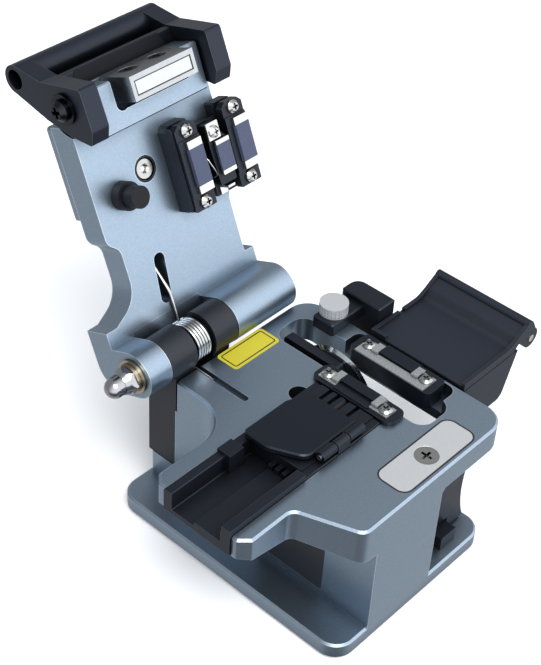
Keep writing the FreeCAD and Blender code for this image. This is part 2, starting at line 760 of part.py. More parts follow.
def lid_plate():
    """Lid arm in one piece: plate, two hinge barrels and the end block."""
    plate = slab(lid_outline(), LID_OUT, LID_UNDER)
    plate = plate.cut(box(KNUCKLE_L, KNUCKLE_R, -10, 6.2, LID_OUT - 1, LID_UNDER + 1))
    left = barrel_section(BARREL_L, KNUCKLE_L - 0.12)
    right = barrel_section(KNUCKLE_R + 0.12, BARREL_R_END)
    tie = box(KNUCKLE_L - 0.12, KNUCKLE_R + 0.12, 6.2, 9.0, LID_OUT, LID_UNDER)
    block = slab(
        [
            (LID_CX - BLOCK_HALF, BLOCK_START, 0.4),
            (LID_CX + BLOCK_HALF, BLOCK_START, 0.4),
            (LID_CX + BLOCK_HALF, LID_END, 0.6),
            (LID_CX - BLOCK_HALF, LID_END, 0.6),
        ],
        BLOCK_BACK,
        BLOCK_FACE,
    )
    block = broken(block, 0.3, BLOCK_FACE)
    lid = union(plate, left, right, tie, block)
    cuts = []
    for x0, x1 in ((LID_L - 1, LID_CX - BLOCK_HALF), (LID_CX + BLOCK_HALF, LID_R + 1)):
        cuts.append(rod("x", HUB_R + 0.9, (x0, PIVOT_U, PIVOT_W), x1 - x0))
        cuts.append(box(x0, x1, 52.0, LID_END + 1, LID_OUT - 1, 1))
    cuts.append(rod("x", SHAFT_R + RUN, (BARREL_L - 1, 0, 0), BARREL_R_END - BARREL_L + 2))
    cuts.append(rod("x", SHAFT_R + 1.4, (SHAFT_END - 0.1, 0, 0), 4))
    recess = union(
        box(MAGNET_X - MAGNET_L / 2 - 2.2, MAGNET_X + MAGNET_L / 2 + SNUG, 53.4, LID_END + 1, RECESS_FLOOR, 1),
        box(MAGNET_X - MAGNET_L / 2 - SNUG, MAGNET_X + MAGNET_L / 2 + SNUG, 52.0, 54.0, RECESS_FLOOR, 1),
        rod("z", 1.6, (MAGNET_X - MAGNET_L / 2 - 0.6, 53.4, RECESS_FLOOR), 7),
    )
    cuts.append(recess)
    slot_plan = [(-7.6, SLOT_U0, 1.4), (-4.6, SLOT_U0, 1.4), (-3.3, SLOT_U1, 1.4), (-6.3, SLOT_U1, 1.4)]
    slot = slab(slot_plan, LID_OUT + 1.2, LID_UNDER + 1)
    cuts.append(slot)
    cuts.append(rod("z", 2.9, (HEX_X, HEX_U, LID_UNDER - 2.2), 4))
    cuts.append(rod("z", 1.3 + SNUG, (HEX_X, HEX_U, LID_UNDER - 5.5), 6))
    cuts.append(rod("z", 1.6 + SNUG, (BUMPER_X, BUMPER_U, LID_UNDER - 3.0 - SNUG), 5))
    for side in (-1, 1):
        face = LID_CX + side * BLOCK_HALF
        depth = BLOCK_HALF - HANDLE_SCREW_TIP + 0.4
        cuts.append(rod("x", 1.25 + SNUG, (min(face, face - side * depth), PIVOT_U, PIVOT_W), depth))
    return lid.cut(cuts)


def lid_cover():
    """Outer cover plate on the lid's back."""
    outline = [
        (LID_L, COVER_START, 0.8),
        (LID_R, COVER_START, 0.8),
        (LID_R, 52.0, 0.8),
        (LID_L, 52.0, 0.8),
    ]
    plate = slab(outline, LID_OUT - COVER_T, LID_OUT)
    return broken(plate, 0.5, LID_OUT - COVER_T)


def lid_hex_screw():
    """Socket cap screw sunk in the lid's underside."""
    head = rod("z", 2.1, (HEX_X, HEX_U, LID_UNDER - 2.2), 1.9)
    shank = rod("z", 1.3, (HEX_X, HEX_U, LID_UNDER - 5.4), 4)
    socket = hexagon("z", 1.2, (HEX_X, HEX_U, LID_UNDER - 1.4), 2)
    return union(head, shank).cut(socket)


def lid_bumper():
    """Stepped plunger that holds the fibre holder's clip down."""
    foot = rod("z", 1.6, (BUMPER_X, BUMPER_U, LID_UNDER - 3.0), 3.5)
    flange = rod("z", 3.1, (BUMPER_X, BUMPER_U, LID_UNDER), 2.4)
    stem = rod("z", 2.4, (BUMPER_X, BUMPER_U, LID_UNDER + 2.0), 1.0 - LID_UNDER - 2.0)
    bumper = union(foot, flange, stem)
    return bumper


def magnet_holder():
    """Steel cup with end lugs that carries the lid magnet."""
    x0 = MAGNET_X - MAGNET_L / 2
    x1 = MAGNET_X + MAGNET_L / 2
    holder = box(x0, x1, MAGNET_U - MAGNET_W / 2, LID_END, RECESS_FLOOR, MAGNET_FACE)
    pocket = box(x0 + 0.9, x1 - 0.9, MAGNET_U - 1.6, MAGNET_U + 1.6, MAGNET_FACE - 3.0, MAGNET_FACE + 1)
    sinks = [pocket]
    for x in MAGNET_SCREWS:
        sinks.append(rod("y", 0.9 + SNUG, (x, LID_END - 4.2, MAGNET_SCREW_W), 6))
        sinks.append(Part.makeCone(0.9, 2.15, 1.3, V(x, LID_END - 1.3, MAGNET_SCREW_W), V(0, 1, 0)))
    return holder.cut(sinks)


def magnet():
    """Bar magnet, flush in the holder's face."""
    x0 = MAGNET_X - MAGNET_L / 2 + 0.9 + SNUG
    x1 = MAGNET_X + MAGNET_L / 2 - 0.9 - SNUG
    return box(x0, x1, MAGNET_U - 1.55, MAGNET_U + 1.55, MAGNET_FACE - 3.0, MAGNET_FACE - 0.1)


def magnet_screws():
    """Two countersunk screws in the holder's end face."""
    screws = []
    for x in MAGNET_SCREWS:
        head = Part.makeCone(0.85, 2.08, 1.23, V(x, LID_END - 1.28, MAGNET_SCREW_W), V(0, 1, 0))
        shank = rod("y", 0.85, (x, LID_END - 4.1, MAGNET_SCREW_W), 3)
        cross = union(
            box(x - 1.1, x + 1.1, LID_END - 0.7, LID_END + 1, MAGNET_SCREW_W - 0.22, MAGNET_SCREW_W + 0.22),
            box(x - 0.22, x + 0.22, LID_END - 0.7, LID_END + 1, MAGNET_SCREW_W - 1.1, MAGNET_SCREW_W + 1.1),
        )
        screws.append(union(head, shank).cut(cross))
    return Part.makeCompound(screws)


# ---------------------------------------------------------------- lid clamps


def clamp_base():
    """Black block on the lid that carries the two jaws and the middle anvil."""
    x0 = LEFT_CLAMP_X - JAW_W / 2 - 0.3
    x1 = RIGHT_CLAMP_X + JAW_W / 2
    valley0 = LEFT_CLAMP_X + JAW_W / 2
    valley1 = RIGHT_CLAMP_X - JAW_W / 2
    plan = [
        (x0, CLAMP_U0, 0.4),
        (valley0, CLAMP_U0, 0.4),
        (valley0, CLAMP_U0 + 3.0, 0),
        (ANVIL_ARM_X - 2.4, CLAMP_U0 + 3.0, 0),
        (ANVIL_ARM_X - 2.4, CLAMP_U0, 0),
        (x1, CLAMP_U0, 0.4),
        (x1, CLAMP_U1 - 1.2, 0.4),
        (x1 - 1.2, CLAMP_U1, 0.4),
        (valley1, CLAMP_U1, 0.4),
        (valley1, CLAMP_U1 - 2.6, 0),
        (valley0, CLAMP_U1 - 2.6, 0),
        (valley0, CLAMP_U1, 0.4),
        (x0 + 1.2, CLAMP_U1, 0.4),
        (x0, CLAMP_U1 - 1.2, 0.4),
    ]
    block = slab(plan, LID_UNDER, CLAMP_BASE_TOP)
    for x in (LEFT_CLAMP_X, RIGHT_CLAMP_X):
        for u in clamp_screw_places():
            block = block.cut(screw_hole(x, u, CLAMP_BASE_TOP, 2.3))
    return block.cut(screw_hole(ANVIL_ARM_X - 1.2, ANVIL_CLIP_U, CLAMP_BASE_TOP, 2.3))


def clamp_screw_places():
    """u of the two screws of each jaw."""
    return CLAMP_U - CLAMP_SCREW_PITCH / 2, CLAMP_U + CLAMP_SCREW_PITCH / 2


def clamp_jaw(x):
    """Floating jaw bar with stepped ends for its two guide screws."""
    half = JAW_W / 2
    bar = slab(
        [
            (x - half, CLAMP_U0 + 0.1, 0.3),
            (x + half, CLAMP_U0 + 0.1, 0.3),
            (x + half, CLAMP_U1 - 1.2, 0.3),
            (x + half - 1.2, CLAMP_U1 - 0.1, 0.3),
            (x - half + 1.2, CLAMP_U1 - 0.1, 0.3),
            (x - half, CLAMP_U1 - 1.2, 0.3),
        ],
        JAW_BOTTOM,
        JAW_TOP,
    )
    for way, u in zip((-1, 1), clamp_screw_places()):
        u0, u1 = sorted((u - way * JAW_STEP, u + way * (CLAMP_END + 1)))
        bar = bar.cut(box(x - half - 1, x + half + 1, u0, u1, JAW_SEAT, JAW_TOP + 1))
        bar = bar.cut(rod("z", M2_SHANK + 0.1, (x, u, JAW_BOTTOM - 1), 4))
    return bar


def clamp_pad(x):
    """Soft pad of one jaw."""
    half_u = CLAMP_PAD_L / 2
    return box(x - CLAMP_PAD_W / 2 + 0.6, x + CLAMP_PAD_W / 2 + 0.6, CLAMP_U - half_u, CLAMP_U + half_u, JAW_TOP, CLAMP_FACE)


def clamp_shims(x):
    """Two bright keepers that hold the pad's ends."""
    half_u = CLAMP_PAD_L / 2 + SNUG
    pair = []
    for way in (-1, 1):
        u0, u1 = sorted((CLAMP_U + way * half_u, CLAMP_U + way * (half_u + 1.7)))
        pair.append(box(x - CLAMP_PAD_W / 2 + 0.6, x + CLAMP_PAD_W / 2 + 0.6, u0, u1, JAW_TOP, CLAMP_FACE - 0.1))
    return Part.makeCompound(pair)


def clamp_screws():
    """Four guide screws of the jaws, fixed in the clamp base."""
    group = []
    for x in (LEFT_CLAMP_X, RIGHT_CLAMP_X):
        for u in clamp_screw_places():
            group.append(pan_screw(x, u, JAW_SEAT + 0.02, JAW_SEAT - CLAMP_BASE_TOP + 2.2, head_h=1.1))
    return Part.makeCompound(group)


def clamp_springs():
    """Elastic bed under each jaw, with clear holes for the guide screws."""
    beds = []
    for x in (LEFT_CLAMP_X, RIGHT_CLAMP_X):
        half = JAW_W / 2 - 0.4
        bed = box(x - half, x + half, CLAMP_U0 + 0.9, CLAMP_U1 - 1.7, CLAMP_BASE_TOP, JAW_BOTTOM)
        for u in clamp_screw_places():
            bed = bed.cut(rod("z", M2_SHANK + 0.12, (x, u, CLAMP_BASE_TOP - 1), 3))
        beds.append(bed)
    return Part.makeCompound(beds)


def anvil_arm():
    """Middle arm that bends the fibre over the blade."""
    x = ANVIL_ARM_X
    arm = slab(
        [
            (x - 2.6, 27.4, 0.3),
            (x + 2.0, 27.4, 0.3),
            (x + 2.0, 37.2, 0.3),
            (x + 0.8, 38.6, 0.3),
            (x + 0.8, 41.2, 0.3),
            (x - 3.0, 41.2, 0.3),
            (x - 3.0, 36.0, 0.3),
        ],
        JAW_BOTTOM,
        0.1,
    )
    land = box(x - 1.9, x + 2.0, CLAMP_U - 4.2, CLAMP_U + 2.6, 0, 0.5)
    return union(arm, land).cut(rod("z", M2_SHANK + 0.1, (x - 1.2, ANVIL_CLIP_U, JAW_BOTTOM - 1), 4))


def anvil_face():
    """Pad of the middle arm."""
    x = ANVIL_ARM_X
    return box(x - 1.9, x + 2.0, CLAMP_U - 3.7, CLAMP_U + 2.0, 0.5, 1.1)




def anvil_leaf():
    """Bright leaf under the middle screw that keeps the arm down."""
    x = ANVIL_ARM_X - 1.2
    leaf = slab([(x - 1.7, 37.6, 0.2), (x + 1.7, 37.6, 0.2), (x + 1.7, 41.4, 0.2), (x - 1.7, 41.4, 0.2)], 0.15, 0.45)
    return leaf.cut(rod("z", M2_SHANK + SNUG, (x, ANVIL_CLIP_U, -1), 3))


def anvil_leaf_screw():
    """Screw of the middle leaf."""
    return pan_screw(ANVIL_ARM_X - 1.2, ANVIL_CLIP_U, 0.45, 0.45 - CLAMP_BASE_TOP + 2.2, head_r=1.3, head_h=0.95)


def anvil_bracket():
    """Bright stop bracket at the foot of the middle arm."""
    x = ANVIL_ARM_X
    foot = box(x - 1.6, x + 0.4, CLAMP_U0 + 0.2, 27.0, CLAMP_BASE_TOP, CLAMP_BASE_TOP + 0.5)
    stand = box(x - 1.6, x + 0.4, 26.5, 27.0, CLAMP_BASE_TOP, 0.9)
    return union(foot, stand)


# ---------------------------------------------------------------- lifting handle
def handle_arm(side):
    """One side arm of the handle with its hub and prying ear."""
    x0, x1 = sorted((LID_CX + side * EAR_IN, LID_CX + side * EAR_OUT))
    outline = [
        (GRIP_U + GRIP_R * 0.85, GRIP_W + GRIP_R * 0.5, 0),
        (62.0, -9.2, 0.8),
        (61.2, -3.0, 1.5),
        (60.4, 2.9, 0.8),
        (51.6, 3.1, 1.6),
        (48.6, 1.6, 0.5),
        (50.6, -4.4, 3.0),
        (54.0, -10.6, 2.0),
        (GRIP_U - GRIP_R * 0.85, GRIP_W - GRIP_R * 0.5, 0),
    ]
    return bar_x(outline, x0, x1)


def lift_handle():
    """Black handle: hollow grip bar, back web and two pivoted arms."""
    x0 = LID_CX - EAR_OUT
    x1 = LID_CX + EAR_OUT
    grip = Part.makeCylinder(GRIP_R, x1 - x0, V(x0, GRIP_U, GRIP_W), V(1, 0, 0))
    web = bar_x(
        [
            (GRIP_U - 2.4, GRIP_W - 1.9, 0),
            (54.4, -10.8, 0.5),
            (54.6, -8.2, 0.5),
            (61.6, -8.2, 0.5),
            (61.8, -9.9, 0.5),
            (58.2, -10.3, 0.8),
            (57.4, -11.9, 0.8),
            (GRIP_U + 0.4, GRIP_W - 1.0, 0),
        ],
        LID_CX - EAR_IN - 0.5,
        LID_CX + EAR_IN + 0.5,
    )
    handle = union(grip, web, handle_arm(-1), handle_arm(1))
    bore = Part.makeCylinder(GRIP_BORE, x1 - x0 + 2, V(x0 - 1, GRIP_U, GRIP_W), V(1, 0, 0))
    pivot = Part.makeCylinder(1.5 + RUN, x1 - x0 + 2, V(x0 - 1, PIVOT_U, PIVOT_W), V(1, 0, 0))
    return handle.cut([bore, pivot])


def handle_screws():
    """Two shouldered pan-head screws the handle turns on."""
    pair = []
    for side in (-1, 1):
        seat = EAR_OUT + 0.7
        screw = union(
            pan_screw(0, 0, seat, seat - BLOCK_HALF, head_r=2.3, head_h=1.7, shank_r=1.5),
            rod("z", 1.25, (0, 0, HANDLE_SCREW_TIP), BLOCK_HALF + 0.2 - HANDLE_SCREW_TIP),
        )
        screw.rotate(V(0, 0, 0), V(0, 1, 0), 90.0 * side)
        screw.translate(V(LID_CX, PIVOT_U, PIVOT_W))
        pair.append(screw)
    return Part.makeCompound(pair)


def handle_washers():
    """Washers between the screw heads and the arms."""
    pair = []
    for side in (-1, 1):
        x0, x1 = sorted((LID_CX + side * (EAR_OUT + 0.1), LID_CX + side * (EAR_OUT + 0.7)))
        pair.append(washer("x", (x0, PIVOT_U, PIVOT_W), 3.3, 1.5 + SNUG, x1 - x0))
    return Part.makeCompound(pair)


# ---------------------------------------------------------------- blade carriage


def slide_rail():
    """Steel guide rail screwed to the base plate."""
    rail = box(RAIL_X - RAIL_W / 2, RAIL_X + RAIL_W / 2, -RAIL_L / 2 - 1, RAIL_L / 2 - 1, BASE_TOP, BASE_TOP + RAIL_H)
    for y in RAIL_SCREW_Y:
        rail = rail.cut(screw_hole(RAIL_X, y, BASE_TOP + 3, 4.0))
        rail = rail.cut(rod("z", M2_HEAD + 0.1, (RAIL_X, y, BASE_TOP + 1.6), 3))
    return rail


def rail_screws():
    """Four screws of the rail."""
    group = [pan_screw(RAIL_X, y, BASE_TOP + 1.6, 3.9, head_h=1.2) for y in RAIL_SCREW_Y]
    return Part.makeCompound(group)


def slide_bearing():
    """Bearing block that rides on the rail."""
    half = BEARING_W / 2
    low = BASE_TOP + 0.8
    block = box(RAIL_X - half, RAIL_X + half, BEARING_Y - BEARING_L / 2, BEARING_Y + BEARING_L / 2, low, BEARING_TOP)
    way = RAIL_W / 2 + RUN
    groove = box(RAIL_X - way, RAIL_X + way, -RAIL_L, RAIL_L, low - 1, BASE_TOP + RAIL_H + RUN)
    return block.cut(groove)


def carriage():
    """Black sliding carriage: skirted body with a tall front grip wall."""
    x0, x1 = CARRIAGE_L, CARRIAGE_RIGHT
    body = box(x0, x1, CARRIAGE_FRONT, CARRIAGE_BACK, SKIRT_Z, CARRIAGE_TOP)
    grip = box(x0, x1, CARRIAGE_FRONT, CARRIAGE_FRONT + GRIP_T, SKIRT_Z, GRIP_TOP)
    block = union(body, grip)
    hollow_w = BEARING_W / 2 + 0.2
    cuts = [
        box(RAIL_X - hollow_w, RAIL_X + hollow_w, CARRIAGE_FRONT + GRIP_T, CARRIAGE_BACK + 1, SKIRT_Z - 1, BEARING_TOP),
        box(RAIL_X - 3.2, RAIL_X + 3.2, CARRIAGE_FRONT - 1, CARRIAGE_BACK, SKIRT_Z - 1, BASE_TOP + RAIL_H + 0.4),
        rod("y", 26.0, (x1 + 24.2, CARRIAGE_FRONT - 1, 15.5), CARRIAGE_BACK - CARRIAGE_FRONT + 2),
    ]
    for x in CARRIAGE_SCREW_X:
        cuts.append(rod("z", 1.0 + SNUG, (x, CARRIAGE_SCREW_Y, BEARING_TOP - 1), 9))
        cuts.append(rod("z", 1.9, (x, CARRIAGE_SCREW_Y, CARRIAGE_TOP - 1.6), 4))
    for x in MOUNT_SCREW_X:
        cuts.append(screw_hole(x, MOUNT_SCREW_Y, CARRIAGE_TOP, 4.0))
    return block.cut(cuts)


def carriage_screws():
    """Screws that join the carriage to the bearing."""
    seat = CARRIAGE_TOP - 1.6
    length = seat - BEARING_TOP
    group = [pan_screw(x, CARRIAGE_SCREW_Y, seat, length, head_r=1.8, head_h=1.4, shank_r=1.0) for x in CARRIAGE_SCREW_X]
    return Part.makeCompound(group)


def blade_mount():
    """Foot and upright arm that carry the blade up through the deck slot."""
    foot = box(6.4, 21.4, 7.2, CARRIAGE_BACK, CARRIAGE_TOP, CARRIAGE_TOP + 0.9)
    arm = bar_x(
        [
            (0.8, CARRIAGE_TOP, 0),
            (CARRIAGE_BACK - 0.2, CARRIAGE_TOP, 0),
            (CARRIAGE_BACK - 0.2, DECK_TOP - 0.2, 0.8),
            (3.2, DECK_TOP - 0.2, 0.8),
            (0.8, DECK_TOP - 5.0, 1.5),
        ],
        ARM_X0,
        ARM_X1,
    )
    rib = bar_y([(7.2, CARRIAGE_TOP, 0), (ARM_X0 + 0.5, CARRIAGE_TOP, 0), (ARM_X0 + 0.5, 24.0, 0)], 13.6, 16.0)
    mount = union(foot, arm, rib)
    cuts = [rod("x", 1.5 + RUN, (ARM_X0 - 1, BLADE_Y, BLADE_Z), BLADE_ARM_T + 2)]
    for x in MOUNT_SCREW_X:
        cuts.append(rod("z", M2_SHANK + SNUG, (x, MOUNT_SCREW_Y, CARRIAGE_TOP - 1), 4))
    return mount.cut(cuts)


def mount_screws():
    """Screws of the blade mount's foot."""
    group = [pan_screw(x, MOUNT_SCREW_Y, CARRIAGE_TOP + 0.9, 4.8) for x in MOUNT_SCREW_X]
    return Part.makeCompound(group)


def blade():
    """Round blade with a double-bevelled rim."""
    x0 = BLADE_X - BLADE_T / 2
    land = 0.5
    disc = Part.makeCylinder(BLADE_R - 0.9, BLADE_T, V(x0, BLADE_Y, BLADE_Z), V(1, 0, 0))
    rim_l = Part.makeCone(BLADE_R - 0.9, BLADE_R, land, V(x0, BLADE_Y, BLADE_Z), V(1, 0, 0))
    rim_r = Part.makeCone(BLADE_R, BLADE_R - 0.9, BLADE_T - land, V(x0 + land, BLADE_Y, BLADE_Z), V(1, 0, 0))
    disc = union(disc, rim_l, rim_r)
    return disc.cut(rod("x", 1.5 + SNUG, (x0 - 1, BLADE_Y, BLADE_Z), 4))


def blade_arbor():
    """Arbor the blade is clamped on, with its slotted cap."""
    x0 = ARM_X0 - 1.6
    shaft = rod("x", 1.5, (x0, BLADE_Y, BLADE_Z), BLADE_X + BLADE_T / 2 - x0)
    cap = rod("x", 3.0, (BLADE_X + BLADE_T / 2, BLADE_Y, BLADE_Z), 1.4)
    slit = box(BLADE_X + BLADE_T / 2 + 0.7, BLADE_X + 4, BLADE_Y - 4, BLADE_Y + 4, BLADE_Z - 0.35, BLADE_Z + 0.35)
    return union(shaft, cap).cut(slit)


def blade_nut():
    """Thin hex nut at the arbor's left end."""
    x0 = ARM_X0 - 1.5
    nut = hexagon("x", 2.3, (x0, BLADE_Y, BLADE_Z), 1.4)
    return nut.cut(rod("x", 1.5 + SNUG, (x0 - 1, BLADE_Y, BLADE_Z), 4))


# ---------------------------------------------------------------- fibre holder


def holder_tray():
    """Black tray in the channel: rails, a stepped floor and a grooved bed."""
    profile = [
        (TRAY_Y0, CHANNEL_FLOOR, 0),
        (TRAY_Y1, CHANNEL_FLOOR, 0),
        (TRAY_Y1, TRAY_TOP, 0.3),
        (TRAY_Y1 - 2.2, TRAY_TOP, 0.3),
        (TRAY_Y1 - 2.2, TRAY_FLOOR - 1.1, 0.3),
        (FIBRE_Y + 0.9, TRAY_FLOOR - 1.1, 0),
        (FIBRE_Y + 0.4, TRAY_FLOOR, 0),
        (TRAY_Y0 + 2.5, TRAY_FLOOR, 0.3),
        (TRAY_Y0 + 2.5, TRAY_TOP, 0.3),
        (TRAY_Y0, TRAY_TOP, 0.3),
    ]
    tray = bar_x(profile, TRAY_LEFT, LEFT_ANVIL_X - 0.4)
    rail = box(TRAY_LEFT, CLIP_L - 0.4, TRAY_Y0, TRAY_Y0 + 2.2, TRAY_TOP - 1, FRONT_RAIL_TOP)
    fingers = []
    for y in (FIBRE_Y - 3.8, FIBRE_Y - 2.0, FIBRE_Y - 0.2):
        fingers.append(box(CLIP_L - 1.1, CLIP_L + 1.0, y - 0.5, y + 0.5, TRAY_FLOOR - 1, TRAY_FLOOR + 1.4))
    bed = box(CLIP_L + 0.6, LEFT_ANVIL_X - 0.4, TRAY_Y0 + 2, TRAY_Y1 - 2, CHANNEL_FLOOR + 1, HOLDER_BED)
    stop = box(-24.6, -20.6, TRAY_Y1 - 3.6, TRAY_Y1, CHANNEL_FLOOR + 1, TRAY_TOP + 0.7)
    web_x0, web_x1 = TRAY_LOBE
    lobe = rod("x", LOBE_R, (web_x0, HOLDER_PIN_Y, HOLDER_PIN_Z), web_x1 - web_x0)
    web = box(web_x0, web_x1, HOLDER_PIN_Y - LOBE_R, HOLDER_PIN_Y + LOBE_R, TRAY_TOP - 1, HOLDER_PIN_Z)
    tray = union(tray, rail, bed, stop, lobe, web, *fingers)
    groove = bar_x(
        [(FIBRE_Y - 0.7, HOLDER_BED + 0.1, 0), (FIBRE_Y, HOLDER_BED - 0.7, 0), (FIBRE_Y + 0.7, HOLDER_BED + 0.1, 0)],
        CLIP_L,
        LEFT_ANVIL_X,
    )
    cuts = [groove, rod("x", 0.6 + 0.01, (web_x0 - 1, HOLDER_PIN_Y, HOLDER_PIN_Z), web_x1 - web_x0 + 2)]
    for y in (FIBRE_Y - 3.0, FIBRE_Y + 2.2, FIBRE_Y + 4.4):
        cuts.append(box(CLIP_R + 0.6, LEFT_ANVIL_X, y - 0.5, y + 0.5, HOLDER_BED - 1.0, HOLDER_BED + 1))
    for x, y in HOLDER_SCREWS:
        cuts.append(screw_hole(x, y, HOLDER_BED, 6.0))
        cuts.append(rod("z", M2_HEAD + 0.1, (x, y, HOLDER_BED - 1.4), 3))
    return tray.cut(cuts)


def holder_screws():
    """Two screws that fix the tray in the channel."""
    seat = HOLDER_BED - 1.4
    return Part.makeCompound([pan_screw(x, y, seat, seat - CHANNEL_FLOOR + 2.8) for x, y in HOLDER_SCREWS])


def holder_clip():
    """Clip lid over the tray's bed, with two hinge lobes at the front."""
    front = HOLDER_PIN_Y + LOBE_R + 0.35
    plan = [
        (CLIP_L - 0.6, TRAY_Y1 - 0.9, 1.2),
        (CLIP_L - 0.6, -4.4, 3.0),
        (-14.6, front, 3.0),
        (CLIP_R, front, 0.4),
        (CLIP_R, TRAY_Y1 - 3.0, 0.8),
        (CLIP_R - 5.6, TRAY_Y1 - 0.9, 1.2),
    ]
    plate = broken(slab(plan, CLIP_UNDER, CLIP_TOP), 0.3, CLIP_TOP)
    parts = []
    for x0, x1 in CLIP_LOBES:
        parts.append(rod("x", LOBE_R, (x0, HOLDER_PIN_Y, HOLDER_PIN_Z), x1 - x0))
        parts.append(box(x0, x1, HOLDER_PIN_Y, front + 0.4, CLIP_UNDER, CLIP_TOP - 0.1))
    clip = union(plate, *parts)
    return clip.cut(rod("x", 0.6 + RUN, (CLIP_LOBES[0][0] - 1, HOLDER_PIN_Y, HOLDER_PIN_Z), 20))


def holder_clip_pad():
    """Rubber strip under the clip that presses on the fibre."""
    return box(CLIP_L + 3.0, CLIP_R - 2.0, FIBRE_Y - 1.8, FIBRE_Y + 1.8, HOLDER_BED + 0.05, CLIP_UNDER)


def holder_pin():
    """Hinge pin of the clip."""
    return rod("x", 0.6, (CLIP_LOBES[0][0] - 0.4, HOLDER_PIN_Y, HOLDER_PIN_Z), CLIP_LOBES[1][1] - CLIP_LOBES[0][0] + 0.8)


# ---------------------------------------------------------------- scrap bin


def bin_bracket():
    """Black bracket: foot plate under the thumb screw and an upright block."""
    foot = rounded_box(BRACKET_X0, BLOCK_X0 + 2, BRACKET_Y0, BRACKET_Y1 - 0.6, DECK_TOP, BRACKET_TOP, 0.5)
    foot = broken(foot, 0.3, BRACKET_TOP)
    block = slab(
        [
            (BLOCK_X0, BIN_Y1 + GAP, 0.4),
            (BLOCK_X1, BIN_Y1 + GAP, 0.4),
            (BLOCK_X1, BRACKET_Y1, 2.6),
            (BLOCK_X0, BRACKET_Y1, 0.6),
        ],
        25.0,
        BRACKET_BLOCK_TOP,
    )
    block = broken(block, 0.3, BRACKET_BLOCK_TOP)
    bracket = union(foot, block)
    hx0, hx1, hz0, hz1 = HOOK
    pocket = box(hx0 - SNUG, hx1 + SNUG, BIN_Y1 - 1, BIN_Y1 + 2.4 + SNUG, hz0 - SNUG, hz1 + SNUG)
    return bracket.cut([pocket, rod("z", 1.5 + RUN, (THUMB_X, THUMB_Y, DECK_TOP - 1), 6)])


def thumb_screw():
    """Knurled thumb screw that clamps the bracket to the deck."""
    seat = BRACKET_TOP + 0.02
    head = Part.makeCylinder(3.3, THUMB_H, V(THUMB_X, THUMB_Y, seat))
    notches = []
    for i in range(24):
        angle = 2 * math.pi * i / 24
        x = THUMB_X + 3.45 * math.cos(angle)
        y = THUMB_Y + 3.45 * math.sin(angle)
        notches.append(rod("z", 0.28, (x, y, seat + 0.35), THUMB_H - 0.75))
    shank = rod("z", 1.5 - 0.02, (THUMB_X, THUMB_Y, DECK_TOP - 5.0), seat - DECK_TOP + 5.2)
    return union(head, shank).cut(notches)


def bin_body():
    """Open-topped scrap box with a sloped side, hinge lugs and a hook."""
    outer = [
        (BIN_X0, BIN_TOP, 0),
        (BIN_X0, BIN_BOTTOM, 0.8),
        (BIN_X1 - 4.0, BIN_BOTTOM, 2.6),
        (BIN_X1, BIN_TOP, 0),
    ]
    inner = [
        (BIN_X0 + BIN_WALL, BIN_TOP + 1, 0),
        (BIN_X0 + BIN_WALL, BIN_BOTTOM + BIN_WALL, 0.5),
        (BIN_X1 - 4.0 - BIN_WALL * 0.8, BIN_BOTTOM + BIN_WALL, 1.6),
        (BIN_X1 - BIN_WALL + 0.35, BIN_TOP + 1, 0),
    ]
    tub = bar_y(outer, BIN_Y0, BIN_Y1)
    tub = tub.cut(bar_y(inner, BIN_Y0 + BIN_WALL, BIN_Y1 - BIN_WALL))
    lugs = []
    lug_side = [
        (BIN_X1 - 1.2, BIN_TOP - 3.4, 0),
        (BIN_X1 - 0.6, BIN_TOP - 0.1, 0),
        (BIN_PIN_X - 0.7, BIN_PIN_Z + 1.75, 0),
        (BIN_PIN_X + 1.4, BIN_PIN_Z - 1.3, 0),
    ]
    for y0 in lug_places():
        lugs.append(bar_y(lug_side, y0, y0 + LUG_T))
        lugs.append(rod("y", 1.9, (BIN_PIN_X, y0, BIN_PIN_Z), LUG_T))
    hx0, hx1, hz0, hz1 = HOOK
    hook = box(hx0, hx1, BIN_Y1 - 0.4, BIN_Y1 + 2.4, hz0, hz1)
    tub = union(tub, hook, *lugs)
    return tub.cut(rod("y", 0.9 + 0.01, (BIN_PIN_X, BIN_Y0 - 1, BIN_PIN_Z), BIN_Y1 - BIN_Y0 + 2))


def lug_places():
    """Front faces of the two hinge lugs along the pin."""
    return BIN_Y0 + TAB_T + GAP, BIN_Y1 - TAB_T - GAP - LUG_T


